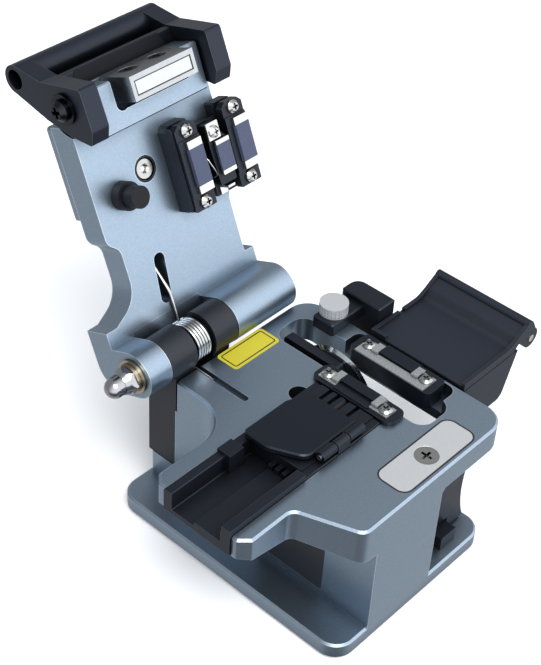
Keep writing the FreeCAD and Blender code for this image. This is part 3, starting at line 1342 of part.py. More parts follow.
def bin_lid():
    """Swing lid: dished panel with raised rims and a rolled lip over its hinge."""
    under = BIN_TOP + GAP
    top = under + 1.0
    left = BIN_X0 - 0.2
    panel = bar_y(
        [
            (left, under, 0.3),
            (45.0, under, 2.0),
            (48.1, 38.8, 1.0),
            (50.6, 39.3, 0.3),
            (50.0, 40.6, 0),
            (46.4, 38.9, 2.0),
            (44.6, top, 2.0),
            (left, top, 0.3),
        ],
        BIN_Y0,
        BIN_Y1,
    )
    lip = rod("y", LIP_R, (LIP_X, BIN_Y0, LIP_Z), BIN_Y1 - BIN_Y0)
    flank = [
        (left, under, 0.3),
        (45.0, under, 2.0),
        (48.1, 38.8, 1.0),
        (50.4, 39.2, 0),
        (49.8, 41.2, 0.4),
        (45.4, 38.6, 6.0),
        (43.0, RIM_TOP, 6.0),
        (left, RIM_TOP, 0.3),
    ]
    near = bar_y(flank, BIN_Y0, BIN_Y0 + RIM_W)
    far = bar_y(flank, BIN_Y1 - RIM_W, BIN_Y1)
    far = far.cut(box(36.0, 37.6, BIN_Y1 - RIM_W - 1, BIN_Y1 + 1, top, RIM_TOP + 1))
    corner = box(left, left + RIM_W, BIN_Y1 - 4.0, BIN_Y1 - RIM_W + 0.2, under + 0.5, RIM_TOP)
    tab_side = [(46.9, 37.6, 0), (49.8, 41.0, 0.4), (51.2, 40.9, 0.4), (53.7, 36.6, 0), (51.0, 33.9, 0), (48.8, 35.2, 0)]
    pieces = [lip, near, far, corner]
    for y0 in (BIN_Y0, BIN_Y1 - TAB_T):
        pieces.append(bar_y(tab_side, y0, y0 + TAB_T))
        pieces.append(rod("y", 2.5, (BIN_PIN_X, y0, BIN_PIN_Z), TAB_T))
    lid = union(panel, *pieces)
    return lid.cut(rod("y", 0.9 + RUN, (BIN_PIN_X, BIN_Y0 - 1, BIN_PIN_Z), BIN_Y1 - BIN_Y0 + 2))


def bin_pin():
    """Hinge pin of the bin lid."""
    return rod("y", 0.9, (BIN_PIN_X, BIN_Y0 - 0.2, BIN_PIN_Z), BIN_Y1 - BIN_Y0 + 0.4)


# ---------------------------------------------------------------- assembly



def main():
    """Write every sub-part."""
    os.makedirs("parts", exist_ok=True)
    fixed = {
        "body_frame": body_frame(),
        "base_pad": base_pad(),
        "strike_plate": strike_plate(),
        "strike_plate_screw": strike_screw(),
        "left_anvil_block": left_anvil(),
        "left_anvil_pad": anvil_pad(LEFT_ANVIL_X + 2.6, 2.6),
        "left_anvil_clips": Part.makeCompound(anvil_clips(LEFT_ANVIL_C, LEFT_ANVIL_C - 1.0, LEFT_ANVIL_C + 2.4)),
        "left_anvil_screws": anvil_screws(LEFT_ANVIL_C),
        "right_anvil_block": right_anvil(),
        "right_anvil_pad": anvil_pad(RIGHT_ANVIL_X + STRIP_W + 0.3, 3.2),
        "right_anvil_clips": right_anvil_strip(),
        "right_anvil_screws": anvil_screws(RIGHT_ANVIL_C),
        "hinge_post": hinge_post(),
        "post_screws": post_screws(),
        "hinge_shaft": hinge_shaft(),
        "acorn_nut": acorn_nut(),
        "hinge_washers": hinge_washers(),
        "torsion_spring": torsion_spring(),
        "slide_rail": slide_rail(),
        "rail_screws": rail_screws(),
        "slide_bearing": slide_bearing(),
        "carriage": carriage(),
        "carriage_screws": carriage_screws(),
        "blade_mount": blade_mount(),
        "blade_mount_screws": mount_screws(),
        "blade": blade(),
        "blade_arbor": blade_arbor(),
        "blade_nut": blade_nut(),
        "holder_tray": holder_tray(),
        "holder_screws": holder_screws(),
        "holder_clip": holder_clip(),
        "holder_clip_pad": holder_clip_pad(),
        "holder_pin": holder_pin(),
        "bin_bracket": bin_bracket(),
        "thumb_screw": thumb_screw(),
        "bin_body": bin_body(),
        "bin_lid": bin_lid(),
        "bin_pin": bin_pin(),
    }
    on_lid = {
        "lid_plate": lid_plate(),
        "lid_cover": lid_cover(),
        "lid_hex_screw": lid_hex_screw(),
        "lid_bumper": lid_bumper(),
        "magnet_holder": magnet_holder(),
        "magnet": magnet(),
        "magnet_screws": magnet_screws(),
        "clamp_base": clamp_base(),
        "left_clamp_jaw": clamp_jaw(LEFT_CLAMP_X),
        "left_clamp_pad": clamp_pad(LEFT_CLAMP_X),
        "left_clamp_keepers": clamp_shims(LEFT_CLAMP_X),
        "right_clamp_jaw": clamp_jaw(RIGHT_CLAMP_X),
        "right_clamp_pad": clamp_pad(RIGHT_CLAMP_X),
        "right_clamp_keepers": clamp_shims(RIGHT_CLAMP_X),
        "clamp_screws": clamp_screws(),
        "clamp_springs": clamp_springs(),
        "bend_anvil": anvil_arm(),
        "bend_anvil_pad": anvil_face(),
        "bend_anvil_fittings": Part.makeCompound([anvil_leaf(), anvil_leaf_screw(), anvil_bracket()]),
        "lift_handle": lift_handle(),
        "handle_screws": handle_screws(),
        "handle_washers": handle_washers(),
    }
    for name, shape in fixed.items():
        export(name, shape)
    for name, shape in on_lid.items():
        export(name, lid_frame(shape))


main()
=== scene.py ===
"""Looks of a bench-top fibre cleaver: camera, light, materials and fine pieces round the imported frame."""
import json
import math

import bmesh
import bpy
from mathutils import Matrix, Vector


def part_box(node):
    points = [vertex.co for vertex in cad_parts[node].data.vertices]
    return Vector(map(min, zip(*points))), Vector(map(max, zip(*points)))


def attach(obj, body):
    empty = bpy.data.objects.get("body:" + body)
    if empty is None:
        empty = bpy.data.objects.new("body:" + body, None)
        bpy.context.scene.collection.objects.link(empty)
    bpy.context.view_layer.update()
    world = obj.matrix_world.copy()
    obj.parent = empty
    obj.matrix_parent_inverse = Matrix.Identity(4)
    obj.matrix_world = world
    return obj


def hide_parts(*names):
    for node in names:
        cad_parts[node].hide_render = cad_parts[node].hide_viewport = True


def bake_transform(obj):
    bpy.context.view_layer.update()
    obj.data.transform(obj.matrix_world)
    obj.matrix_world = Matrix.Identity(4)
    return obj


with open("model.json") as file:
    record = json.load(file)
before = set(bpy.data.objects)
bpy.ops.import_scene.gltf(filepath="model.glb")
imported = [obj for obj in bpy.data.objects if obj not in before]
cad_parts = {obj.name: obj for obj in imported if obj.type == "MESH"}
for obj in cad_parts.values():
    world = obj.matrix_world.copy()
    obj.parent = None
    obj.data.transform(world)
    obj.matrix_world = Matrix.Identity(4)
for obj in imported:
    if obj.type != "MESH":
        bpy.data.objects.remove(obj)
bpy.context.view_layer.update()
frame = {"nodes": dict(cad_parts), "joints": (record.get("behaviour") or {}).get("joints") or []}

MM = 0.001
NODES = frame["nodes"]


def low(node):
    """Lowest corner of a CAD node."""
    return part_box(node)[0]


def high(node):
    """Highest corner of a CAD node."""
    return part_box(node)[1]


# ---------------------------------------------------------------- places on the object
HINGE = next(j for j in frame["joints"] if j["name"] == "lid_hinge")
HINGE_Y = HINGE["pos_m"][1]
HINGE_Z = HINGE["pos_m"][2]
LID_TRAVEL = 113.3  # degrees from the open lid to the closed one
LID_ANGLE = math.radians(180.0 - LID_TRAVEL)
WALL_LEFT = -15.65 * MM
ROOT_LEFT = low("hinge_post").x + 0.1 * MM
ROOT_RIGHT = high("hinge_post").x - 0.1 * MM
COIL_LEFT = -9.4 * MM
COIL_RIGHT = -4.7 * MM
COIL_RADIUS = 4.42 * MM
COIL_TURNS = 5 + LID_ANGLE / (2 * math.pi)
COIL_STEPS = 260
WIRE_RADIUS = 0.37 * MM
LEG_SHOWN = 9.0 * MM
LEG_LEAN = 0.018  # share of the upper leg's length by which it runs to the left


def lid_point(x, u, w):
    """Point of the open lid: u along it from the hinge, w out of its underside."""
    y = HINGE_Y + u * math.cos(LID_ANGLE) - w * math.sin(LID_ANGLE)
    z = HINGE_Z + u * math.sin(LID_ANGLE) + w * math.cos(LID_ANGLE)
    return Vector((x, y, z))


ACROSS_LID = Vector((1, 0, 0))
ALONG_LID = lid_point(0, 1, 0) - lid_point(0, 0, 0)
OUT_OF_LID = lid_point(0, 0, 1) - lid_point(0, 0, 0)


def on_lid(x, u, w):
    """Matrix that lays a card on the open lid, its X along x and its Y along u."""
    turn = Matrix((ACROSS_LID, ALONG_LID, OUT_OF_LID)).transposed()
    return Matrix.Translation(lid_point(x, u, w)) @ turn.to_4x4()


def lid_section(x):
    """Matrix that stands a profile, drawn in u and w, at x, its thickness along x."""
    turn = Matrix((ALONG_LID, OUT_OF_LID, ACROSS_LID)).transposed()
    return Matrix.Translation(lid_point(x, 0, 0)) @ turn.to_4x4()


# ---------------------------------------------------------------- camera
CAMERA_PLACE = Vector((-186.3, -146.55, 253.2)) * MM
CAMERA_AZIMUTH = math.radians(-49.604)
CAMERA_ELEVATION = math.radians(39.964)
CAMERA_ROLL = math.radians(3.574)
CAMERA_LENS = 82.85
CAMERA_NEAR = 0.01


def make_camera():
    """Long-lens camera above the front left corner, rolled a little."""
    data = bpy.data.cameras.new("camera")
    data.lens = CAMERA_LENS
    data.dof.use_dof = False
    data.clip_start = CAMERA_NEAR
    camera = bpy.data.objects.new("camera", data)
    bpy.context.scene.collection.objects.link(camera)
    az, el, roll = CAMERA_AZIMUTH, CAMERA_ELEVATION, CAMERA_ROLL
    back = Vector((math.sin(az) * math.cos(el), -math.cos(az) * math.cos(el), math.sin(el)))
    level = Vector((math.cos(az), math.sin(az), 0))
    rise = back.cross(level)
    right = level * math.cos(roll) + rise * math.sin(roll)
    up = rise * math.cos(roll) - level * math.sin(roll)
    turn = Matrix((right, up, back)).transposed()
    camera.matrix_world = Matrix.Translation(CAMERA_PLACE) @ turn.to_4x4()
    bpy.context.scene.camera = camera


# ---------------------------------------------------------------- studio
ROOM_TINT = (0.94, 0.97, 1.0, 1)
ROOM_FRONT = 1.9
ROOM_BACK = 0.44
ROOM_BELOW_NEAR = 0.16
ROOM_BELOW_FAR = 0.66
FRONT_TO_BACK = (-0.75, 0.5)  # along Y
NEAR_TO_FAR = (-0.95, -0.2)  # along X + Y
BELOW_TO_ABOVE = (-0.5, -0.12)  # along Z

FLOOR_HALF = 3.0
FLOOR_COLOUR = (0.86, 0.86, 0.87, 1)
FLOOR_ROUGHNESS = 0.85
FLOOR_GLOW = 0.05

KEY_PLACE = Vector((-0.25, -0.35, 0.75))
KEY_AIM = Vector((0.0, 0.0, 0.03))
KEY_SIZE = 0.5
KEY_WATTS = 7.0


def make_world():
    """Soft room: bright in front, dim behind, and darkest below in the near left corner."""
    world = bpy.data.worlds.new("room")
    bpy.context.scene.world = world
    world.use_nodes = True
    tree = world.node_tree
    tree.nodes.clear()
    add = tree.nodes.new
    link = tree.links.new
    coords = add("ShaderNodeTexCoord")
    split = add("ShaderNodeSeparateXYZ")
    link(coords.outputs["Generated"], split.inputs[0])

    def ramp(source, span, first, last):
        """Smooth change from first to last while the source crosses a span."""
        node = add("ShaderNodeMapRange")
        node.interpolation_type = "SMOOTHSTEP"
        node.inputs["From Min"].default_value = span[0]
        node.inputs["From Max"].default_value = span[1]
        node.inputs["To Min"].default_value = first
        node.inputs["To Max"].default_value = last
        link(source, node.inputs["Value"])
        return node.outputs[0]

    above = ramp(split.outputs["Y"], FRONT_TO_BACK, ROOM_FRONT, ROOM_BACK)
    side = add("ShaderNodeMath")
    side.operation = "ADD"
    link(split.outputs["Y"], side.inputs[0])
    link(split.outputs["X"], side.inputs[1])
    below = ramp(side.outputs[0], NEAR_TO_FAR, ROOM_BELOW_NEAR, ROOM_BELOW_FAR)
    level = ramp(split.outputs["Z"], BELOW_TO_ABOVE, 0.0, 1.0)
    mix = add("ShaderNodeMix")
    mix.data_type = "FLOAT"
    link(level, mix.inputs[0])
    link(below, mix.inputs[2])
    link(above, mix.inputs[3])
    shade = add("ShaderNodeBackground")
    shade.inputs["Color"].default_value = ROOM_TINT
    link(mix.outputs[0], shade.inputs["Strength"])
    out = add("ShaderNodeOutputWorld")
    link(shade.outputs[0], out.inputs["Surface"])


def make_floor():
    """Plain pale floor under the base pad, left out of reflections."""
    mesh = bpy.data.meshes.new("floor")
    half = FLOOR_HALF
    corners = [(-half, -half, 0), (half, -half, 0), (half, half, 0), (-half, half, 0)]
    mesh.from_pydata(corners, [], [(0, 1, 2, 3)])
    floor = bpy.data.objects.new("floor", mesh)
    bpy.context.scene.collection.objects.link(floor)
    material = bpy.data.materials.new("floor_white")
    material.use_nodes = True
    shader = material.node_tree.nodes["Principled BSDF"]
    shader.inputs["Base Color"].default_value = FLOOR_COLOUR
    shader.inputs["Roughness"].default_value = FLOOR_ROUGHNESS
    shader.inputs["Emission Color"].default_value = (1, 1, 1, 1)
    shader.inputs["Emission Strength"].default_value = FLOOR_GLOW
    mesh.materials.append(material)
    floor.visible_glossy = False


def make_key_light():
    """Square soft box above the front left corner."""
    data = bpy.data.lights.new("key", "AREA")
    data.shape = "SQUARE"
    data.size = KEY_SIZE
    data.energy = KEY_WATTS
    lamp = bpy.data.objects.new("key", data)
    bpy.context.scene.collection.objects.link(lamp)
    lamp.location = KEY_PLACE
    lamp.rotation_euler = (KEY_AIM - KEY_PLACE).to_track_quat("-Z", "Y").to_euler()


def make_studio():
    """World, floor and one soft box."""
    make_world()
    make_floor()
    make_key_light()
    bpy.context.scene.view_settings.view_transform = "Standard"


# ---------------------------------------------------------------- materials
DISPLAY_WHITE = 255.0
DISPLAY_GAMMA = 2.2
NOISE_SPAN = (0.3, 0.7)
DRIFT_DETAIL = 3.0
EDGE_SPAN = (0.82, 0.97)
EDGE_SAMPLES = 6
RECESS_SAMPLES = 8
# Colours of the painted shade that darkens recesses and spots close to other pieces.
PAINTED_SHADE_BLACK = (0.002, 0.0024, 0.003, 1)
PAINTED_SHADE_GREY = (0.02, 0.02, 0.024, 1)


def linear(r, g, b):
    """Linear colour of an 8-bit display colour."""
    return tuple((c / DISPLAY_WHITE) ** DISPLAY_GAMMA for c in (r, g, b)) + (1.0,)


def dimmed(colour, share):
    """The same colour at a share of its strength."""
    return tuple(c * share for c in colour[:3]) + (1.0,)


class Finish:
    """Builds one procedural material step by step, its mottle first."""

    def __init__(self, name, colour, metallic, roughness):
        self.material = bpy.data.materials.new(name)
        self.material.use_nodes = True
        self.tree = self.material.node_tree
        self.shader = self.tree.nodes["Principled BSDF"]
        self.shader.inputs["Metallic"].default_value = metallic
        self.shader.inputs["Base Color"].default_value = colour
        self.shader.inputs["Roughness"].default_value = roughness
        self.colour = colour
        self.roughness = roughness
        self.tint = colour
        self.coords = self.add("ShaderNodeTexCoord").outputs["Object"]

    def add(self, kind, **settings):
        """New node with its settings."""
        node = self.tree.nodes.new(kind)
        for key, value in settings.items():
            setattr(node, key, value)
        return node

    def link(self, source, target):
        """Joins two sockets."""
        self.tree.links.new(source, target)

    def noise(self, scale, detail):
        """Noise in object space."""
        noise = self.add("ShaderNodeTexNoise")
        noise.inputs["Scale"].default_value = scale
        noise.inputs["Detail"].default_value = detail
        self.link(self.coords, noise.inputs["Vector"])
        return noise.outputs["Fac"]

    def spread(self, value, span, first, last):
        """Value that goes from first to last while the source crosses a span."""
        node = self.add("ShaderNodeMapRange")
        node.inputs["From Min"].default_value = span[0]
        node.inputs["From Max"].default_value = span[1]
        node.inputs["To Min"].default_value = first
        node.inputs["To Max"].default_value = last
        self.link(value, node.inputs["Value"])
        return node.outputs[0]

    def blend(self, factor, first, second):
        """Mix of two colours, each a socket or a value."""
        node = self.add("ShaderNodeMix", data_type="RGBA")
        self.link(factor, node.inputs["Factor"])
        for source, target in ((first, node.inputs[6]), (second, node.inputs[7])):
            if isinstance(source, bpy.types.NodeSocket):
                self.link(source, target)
            else:
                target.default_value = source
        return node.outputs[2]

    def mottle(self, scale, share, detail=2.0):
        """Colour that drifts darker by a share."""
        factor = self.spread(self.noise(scale, detail), NOISE_SPAN, 0.0, 1.0)
        self.tint = self.blend(factor, self.tint, dimmed(self.colour, 1 - share))

    def edges(self, colour, radius, strength):
        """Painted highlight on broken edges, found by comparing bevelled and true normals."""
        bevel = self.add("ShaderNodeBevel", samples=EDGE_SAMPLES)
        bevel.inputs["Radius"].default_value = radius
        geometry = self.add("ShaderNodeNewGeometry")
        dot = self.add("ShaderNodeVectorMath", operation="DOT_PRODUCT")
        self.link(bevel.outputs[0], dot.inputs[0])
        self.link(geometry.outputs["Normal"], dot.inputs[1])
        factor = self.spread(dot.outputs["Value"], EDGE_SPAN, strength, 0.0)
        self.tint = self.blend(factor, self.tint, colour)

    def sheen_drift(self, scale, amount):
        """Roughness that drifts up and down by an amount."""
        noise = self.noise(scale, DRIFT_DETAIL)
        value = self.spread(noise, NOISE_SPAN, self.roughness - amount, self.roughness + amount)
        self.link(value, self.shader.inputs["Roughness"])

    def sheen(self, level):
        """Strength of the clear reflection on a dielectric."""
        self.shader.inputs["Specular IOR Level"].default_value = level

    def paint_recess_shade(self, colour, distance, span):
        """Painted shade: darker colour in recesses and close to other pieces, from an ambient occlusion
        mask.
        """
        node = self.add("ShaderNodeAmbientOcclusion", samples=RECESS_SAMPLES)
        node.inputs["Distance"].default_value = distance
        factor = self.spread(node.outputs["AO"], span, 0.0, 1.0)
        self.tint = self.blend(factor, colour, self.tint)

    def grain(self, scale, detail, depth, strength):
        """Fine bumps."""
        node = self.add("ShaderNodeBump")
        node.inputs["Strength"].default_value = strength
        node.inputs["Distance"].default_value = depth
        self.link(self.noise(scale, detail), node.inputs["Height"])
        self.link(node.outputs[0], self.shader.inputs["Normal"])

    def done(self):
        """The material, with its final tint."""
        self.link(self.tint, self.shader.inputs["Base Color"])
        return self.material


def anodised(name, colour):
    """Bead-blasted, anodised aluminium with a painted highlight on its broken edges and painted shade in its
    recesses.
    """
    look = Finish(name, colour, metallic=1.0, roughness=0.36)
    look.mottle(scale=2600, share=0.10, detail=1.0)
    look.edges((0.86, 0.92, 1.0, 1), radius=0.36 * MM, strength=0.75)
    look.sheen_drift(scale=1500, amount=0.012)
    look.paint_recess_shade(dimmed(colour, 0.35), distance=6.0 * MM, span=(0.22, 0.88))
    look.grain(scale=3800, detail=1.0, depth=0.02 * MM, strength=0.35)
    return look.done()


def black_metal(name, colour, roughness=0.38, edge_highlight=0.25, recess=5.0 * MM):
    """Black anodised aluminium, slightly satin, with a painted highlight on its edges and painted shade in
    its recesses.
    """
    look = Finish(name, colour, metallic=0.55, roughness=roughness)
    look.mottle(scale=900, share=0.03)
    look.edges((0.16, 0.18, 0.21, 1), radius=0.18 * MM, strength=edge_highlight)
    look.sheen_drift(scale=900, amount=0.02)
    look.paint_recess_shade(PAINTED_SHADE_BLACK, distance=recess, span=(0.25, 0.95))
    look.grain(scale=3200, detail=2.0, depth=0.02 * MM, strength=0.4)
    return look.done()


def steel(name, colour, roughness, recess=0.6 * MM):
    """Machined steel, faintly mottled, with painted shade darkening its recesses."""
    look = Finish(name, colour, metallic=1.0, roughness=roughness)
    look.mottle(scale=900, share=0.06, detail=3.0)
    look.sheen_drift(scale=900, amount=0.03)
    look.paint_recess_shade(dimmed(colour, 0.08), distance=recess, span=(0.3, 0.8))
    look.grain(scale=1800, detail=2.0, depth=0.008 * MM, strength=0.3)
    return look.done()


def satin(name, colour):
    """Ground plate that scatters as much as it mirrors, with painted shade in its recesses."""
    look = Finish(name, colour, metallic=0.5, roughness=0.34)
    look.mottle(scale=1400, share=0.04)
    look.sheen_drift(scale=1400, amount=0.03)
    look.paint_recess_shade(PAINTED_SHADE_GREY, distance=0.6 * MM, span=(0.3, 0.8))
    look.grain(scale=2600, detail=2.0, depth=0.01 * MM, strength=0.3)
    return look.done()


def rough_steel(name, colour):
    """Sheet steel with a coarse etched texture and painted shade in its recesses."""
    look = Finish(name, colour, metallic=0.6, roughness=0.36)
    look.mottle(scale=3600, share=0.45, detail=3.0)
    look.paint_recess_shade(PAINTED_SHADE_GREY, distance=0.6 * MM, span=(0.3, 0.8))
    look.grain(scale=3200, detail=3.0, depth=0.05 * MM, strength=0.6)
    return look.done()


def plastic(name, colour):
    """Moulded black plastic with a fine spark-eroded grain, a painted highlight on its edges and painted
    shade in its recesses.
    """
    look = Finish(name, colour, metallic=0.0, roughness=0.52)
    look.mottle(scale=1200, share=0.03)
    look.edges((0.07, 0.075, 0.085, 1), radius=0.2 * MM, strength=0.35)
    look.sheen_drift(scale=1200, amount=0.02)
    look.sheen(0.3)
    look.paint_recess_shade(PAINTED_SHADE_BLACK, distance=4.0 * MM, span=(0.25, 0.95))
    look.grain(scale=2300, detail=2.0, depth=0.03 * MM, strength=0.4)
    return look.done()


def rubber(name, colour):
    """Matt rubber with a dusty surface."""
    look = Finish(name, colour, metallic=0.0, roughness=0.5)
    look.mottle(scale=1400, share=0.10, detail=3.0)
    look.sheen(0.2)
    look.grain(scale=1500, detail=3.0, depth=0.04 * MM, strength=0.5)
    return look.done()


def print_ink(name, colour):
    """Printed film label."""
    look = Finish(name, colour, metallic=0.0, roughness=0.42)
    look.mottle(scale=90, share=0.08)
    look.grain(scale=700, detail=1.0, depth=0.01 * MM, strength=0.2)
    return look.done()


BODY_BLUE = (0.31, 0.385, 0.47, 1)
SLATE = (0.012, 0.016, 0.027, 1)

LOOKS = {
    "body": anodised("body_anodised", BODY_BLUE),
    "slate": black_metal("slate_anodised", SLATE, roughness=0.34, edge_highlight=0.6, recess=9.0 * MM),
    "black": black_metal("black_anodised", (0.011, 0.014, 0.022, 1)),
    "post": black_metal("post_anodised", (0.020, 0.022, 0.029, 1), roughness=0.4),
    # Near-black finish of the painted shade sheet in the handle's pocket.
    "pocket": black_metal("pocket_shade_black", (0.002, 0.003, 0.005, 1), roughness=0.55, edge_highlight=0.0),
    "smooth_black": black_metal("smooth_black", (0.009, 0.013, 0.022, 1), roughness=0.3, edge_highlight=0.15),
    "steel": steel("bright_steel", (0.62, 0.62, 0.61, 1), roughness=0.24),
    "holder_steel": steel("satin_steel", (0.44, 0.45, 0.46, 1), roughness=0.3),
    "screw": steel("screw_steel", (0.46, 0.455, 0.44, 1), roughness=0.16, recess=0.9 * MM),
    "wire": steel("spring_wire", (0.52, 0.52, 0.51, 1), roughness=0.2),
    "nickel": steel("nickel_cap", (0.40, 0.39, 0.41, 1), roughness=0.12, recess=1.2 * MM),
    "gold": steel("brass_washer", (0.46, 0.40, 0.30, 1), roughness=0.25),
    "magnet": steel("magnet_face", (0.56, 0.565, 0.57, 1), roughness=0.12),
    "dark_screw": steel("black_oxide", (0.030, 0.031, 0.038, 1), roughness=0.2),
    "blade": steel("blade_steel", (0.72, 0.76, 0.80, 1), roughness=0.1),
    "satin": satin("satin_plate", (0.50, 0.51, 0.52, 1)),
    "rough_steel": rough_steel("rough_steel", (0.40, 0.41, 0.42, 1)),
    "plastic": plastic("bin_plastic", (0.008, 0.011, 0.019, 1)),
    "rubber": rubber("black_rubber", (0.005, 0.005, 0.007, 1)),
    "pad": rubber("anvil_rubber", linear(66, 71, 90)),
    "yellow": print_ink("label_yellow", linear(172, 162, 44)),
    "ink": print_ink("label_black", (0.012, 0.012, 0.012, 1)),
    "patch": print_ink("patch_dark", (0.010, 0.012, 0.016, 1)),
}

NODE_LOOKS = {
    "body": ["body_frame", "lid_plate", "lid_cover"],
    "slate": ["lift_handle"],
    "post": ["hinge_post"],
    "black": [
        "left_anvil_block", "right_anvil_block", "clamp_base", "left_clamp_jaw", "right_clamp_jaw",
        "bend_anvil", "blade_mount", "holder_tray", "carriage", "bin_bracket", "slide_rail",
        "slide_bearing",
    ],
    "smooth_black": ["holder_clip", "left_anvil_pad", "right_anvil_pad"],
    "satin": ["strike_plate", "thumb_screw"],
    "rough_steel": ["left_anvil_clips", "right_anvil_clips"],
    "plastic": ["bin_body", "bin_lid"],
    "steel": [
        "left_clamp_keepers", "right_clamp_keepers", "bend_anvil_fittings", "blade_arbor",
        "blade_nut", "holder_pin", "bin_pin", "hinge_shaft",
    ],
    "screw": [
        "strike_plate_screw", "left_anvil_screws", "right_anvil_screws", "rail_screws",
        "blade_mount_screws", "holder_screws", "magnet_screws", "clamp_screws", "lid_hex_screw",
    ],
    "nickel": ["acorn_nut"],
    "gold": ["hinge_washers"],
    "magnet": ["magnet"],
    "holder_steel": ["magnet_holder"],
    "dark_screw": ["post_screws", "carriage_screws", "handle_washers", "handle_screws"],
    "blade": ["blade"],
    "rubber": ["base_pad", "lid_bumper", "holder_clip_pad", "clamp_springs"],
    "pad": ["left_clamp_pad", "right_clamp_pad", "bend_anvil_pad"],
}


def dress_nodes():
    """Gives every CAD node its material."""
    for look, names in NODE_LOOKS.items():
        for name in names:
            mesh = NODES[name].data
            mesh.materials.clear()
            mesh.materials.append(LOOKS[look])


# ---------------------------------------------------------------- piece shapes
CORNER_STEPS = 6
SMALLEST_CORNER = 0.05 * MM
WIRE_ROUNDNESS = 4


def piece(name, mesh, body, look):
    """New object that rides on a body."""
    thing = bpy.data.objects.new(name, mesh)
    bpy.context.scene.collection.objects.link(thing)
    mesh.materials.append(LOOKS[look])
    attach(thing, body)


def rounded_outline(width, height, corner):
    """Points round a rectangle with round corners, counter-clockwise."""
    outline = []
    for sx, sy, quarter in ((1, 1, 0), (-1, 1, 1), (-1, -1, 2), (1, -1, 3)):
        for i in range(CORNER_STEPS + 1):
            angle = (quarter + i / CORNER_STEPS) * math.pi / 2
            x = sx * (width / 2 - corner) + corner * math.cos(angle)
            y = sy * (height / 2 - corner) + corner * math.sin(angle)
            outline.append((x, y))
    return outline


def prism(name, outline, thickness, inner=None):
    """Solid between an outline and its copy above; open in the middle if inner is given."""
    shape = bmesh.new()
    count = len(outline)
    loops = []
    for ring in (outline, inner) if inner else (outline,):
        for z in (0.0, thickness):
            loops.append([shape.verts.new((x, y, z)) for x, y in ring])
    if inner:
        pairs = ((0, 1), (1, 3), (3, 2), (2, 0))
    else:
        pairs = ((0, 1),)
        shape.faces.new(loops[0])
        shape.faces.new(loops[1])
    for first, second in pairs:
        for i in range(count):
            k = (i + 1) % count
            shape.faces.new((loops[first][i], loops[first][k], loops[second][k], loops[second][i]))
    bmesh.ops.recalc_face_normals(shape, faces=shape.faces)
    mesh = bpy.data.meshes.new(name)
    shape.to_mesh(mesh)
    shape.free()
    return mesh


def rounded_card(name, width, height, corner, thickness):
    """Thin card in the XY plane with round corners, standing on z = 0."""
    return prism(name, rounded_outline(width, height, corner), thickness)


def rounded_ring(name, width, height, corner, band, thickness):
    """Flat frame whose outer edge is the given rounded rectangle."""
    outer = rounded_outline(width, height, corner)
    inner_corner = max(corner - band, SMALLEST_CORNER)
    inner = rounded_outline(width - 2 * band, height - 2 * band, inner_corner)
    return prism(name, outer, thickness, inner)


def wire(name, route, radius):
    """Round wire along a list of points, as a mesh."""
    curve = bpy.data.curves.new(name, "CURVE")
    curve.dimensions = "3D"
    curve.bevel_depth = radius
    curve.bevel_resolution = WIRE_ROUNDNESS
    curve.use_fill_caps = True
    spline = curve.splines.new("POLY")
    spline.points.add(len(route) - 1)
    for target, place in zip(spline.points, route):
        target.co = (*place, 1.0)
    rod = bpy.data.objects.new(name, curve)
    bpy.context.scene.collection.objects.link(rod)
    bpy.context.view_layer.update()
    mesh = bpy.data.meshes.new_from_object(rod.evaluated_get(bpy.context.evaluated_depsgraph_get()))
    bpy.data.objects.remove(rod)
    mesh.name = name
    for face in mesh.polygons:
        face.use_smooth = True
    mesh.materials.clear()
    return mesh


# ---------------------------------------------------------------- pieces
def make_deck_label():
    """Blank yellow label with an inset black line, behind the holder."""
    width = 14.1 * MM
    depth = 6.1 * MM
    margins = 1.3 * MM
    centre = Matrix.Translation((3.15 * MM, 20.65 * MM, high("body_frame").z))
    card = rounded_card("deck_label_card", width, depth, corner=0.9 * MM, thickness=0.05 * MM)
    card.transform(centre)
    piece("deck_label_card", card, "base", "yellow")
    line = rounded_ring(
        "deck_label_line", width - margins, depth - margins,
        corner=0.6 * MM, band=0.28 * MM, thickness=0.07 * MM,
    )
    line.transform(centre)
    piece("deck_label_line", line, "base", "ink")


def make_side_patch():
    """Bare dark patch on the wall's left face, under the arm."""
    card = rounded_card(
        "side_patch", width=17.6 * MM, height=13.8 * MM, corner=0.8 * MM, thickness=0.06 * MM,
    )
    place = Matrix.Translation((WALL_LEFT, -10.8 * MM, 12.9 * MM))
    turn = Matrix(((0, -1, 0), (0, 0, 1), (-1, 0, 0))).transposed()
    card.transform(place @ turn.to_4x4())
    piece("side_patch", card, "base", "patch")


def make_strike_line():
    """Dark gap round the strike plate."""
    gap = 0.38 * MM
    plate_corner = 2.1 * MM
    low_end, high_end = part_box("strike_plate")
    size = high_end - low_end
    middle = (low_end + high_end) / 2
    ring = rounded_ring(
        "strike_line", size.x + 2 * gap, size.y + 2 * gap,
        corner=plate_corner + gap, band=gap, thickness=0.02 * MM,
    )
    ring.transform(Matrix.Translation((middle.x, middle.y, high_end.z)))
    piece("strike_line", ring, "base", "ink")


def make_magnet_line():
    """Dark joint between the magnet and its holder."""
    ring = rounded_ring(
        "magnet_line", width=15.7 * MM, height=3.16 * MM,
        corner=0.2 * MM, band=0.22 * MM, thickness=0.06 * MM,
    )
    ring.transform(on_lid(x=3.6 * MM, u=55.9 * MM, w=3.31 * MM))
    piece("magnet_line", ring, "lid", "ink")


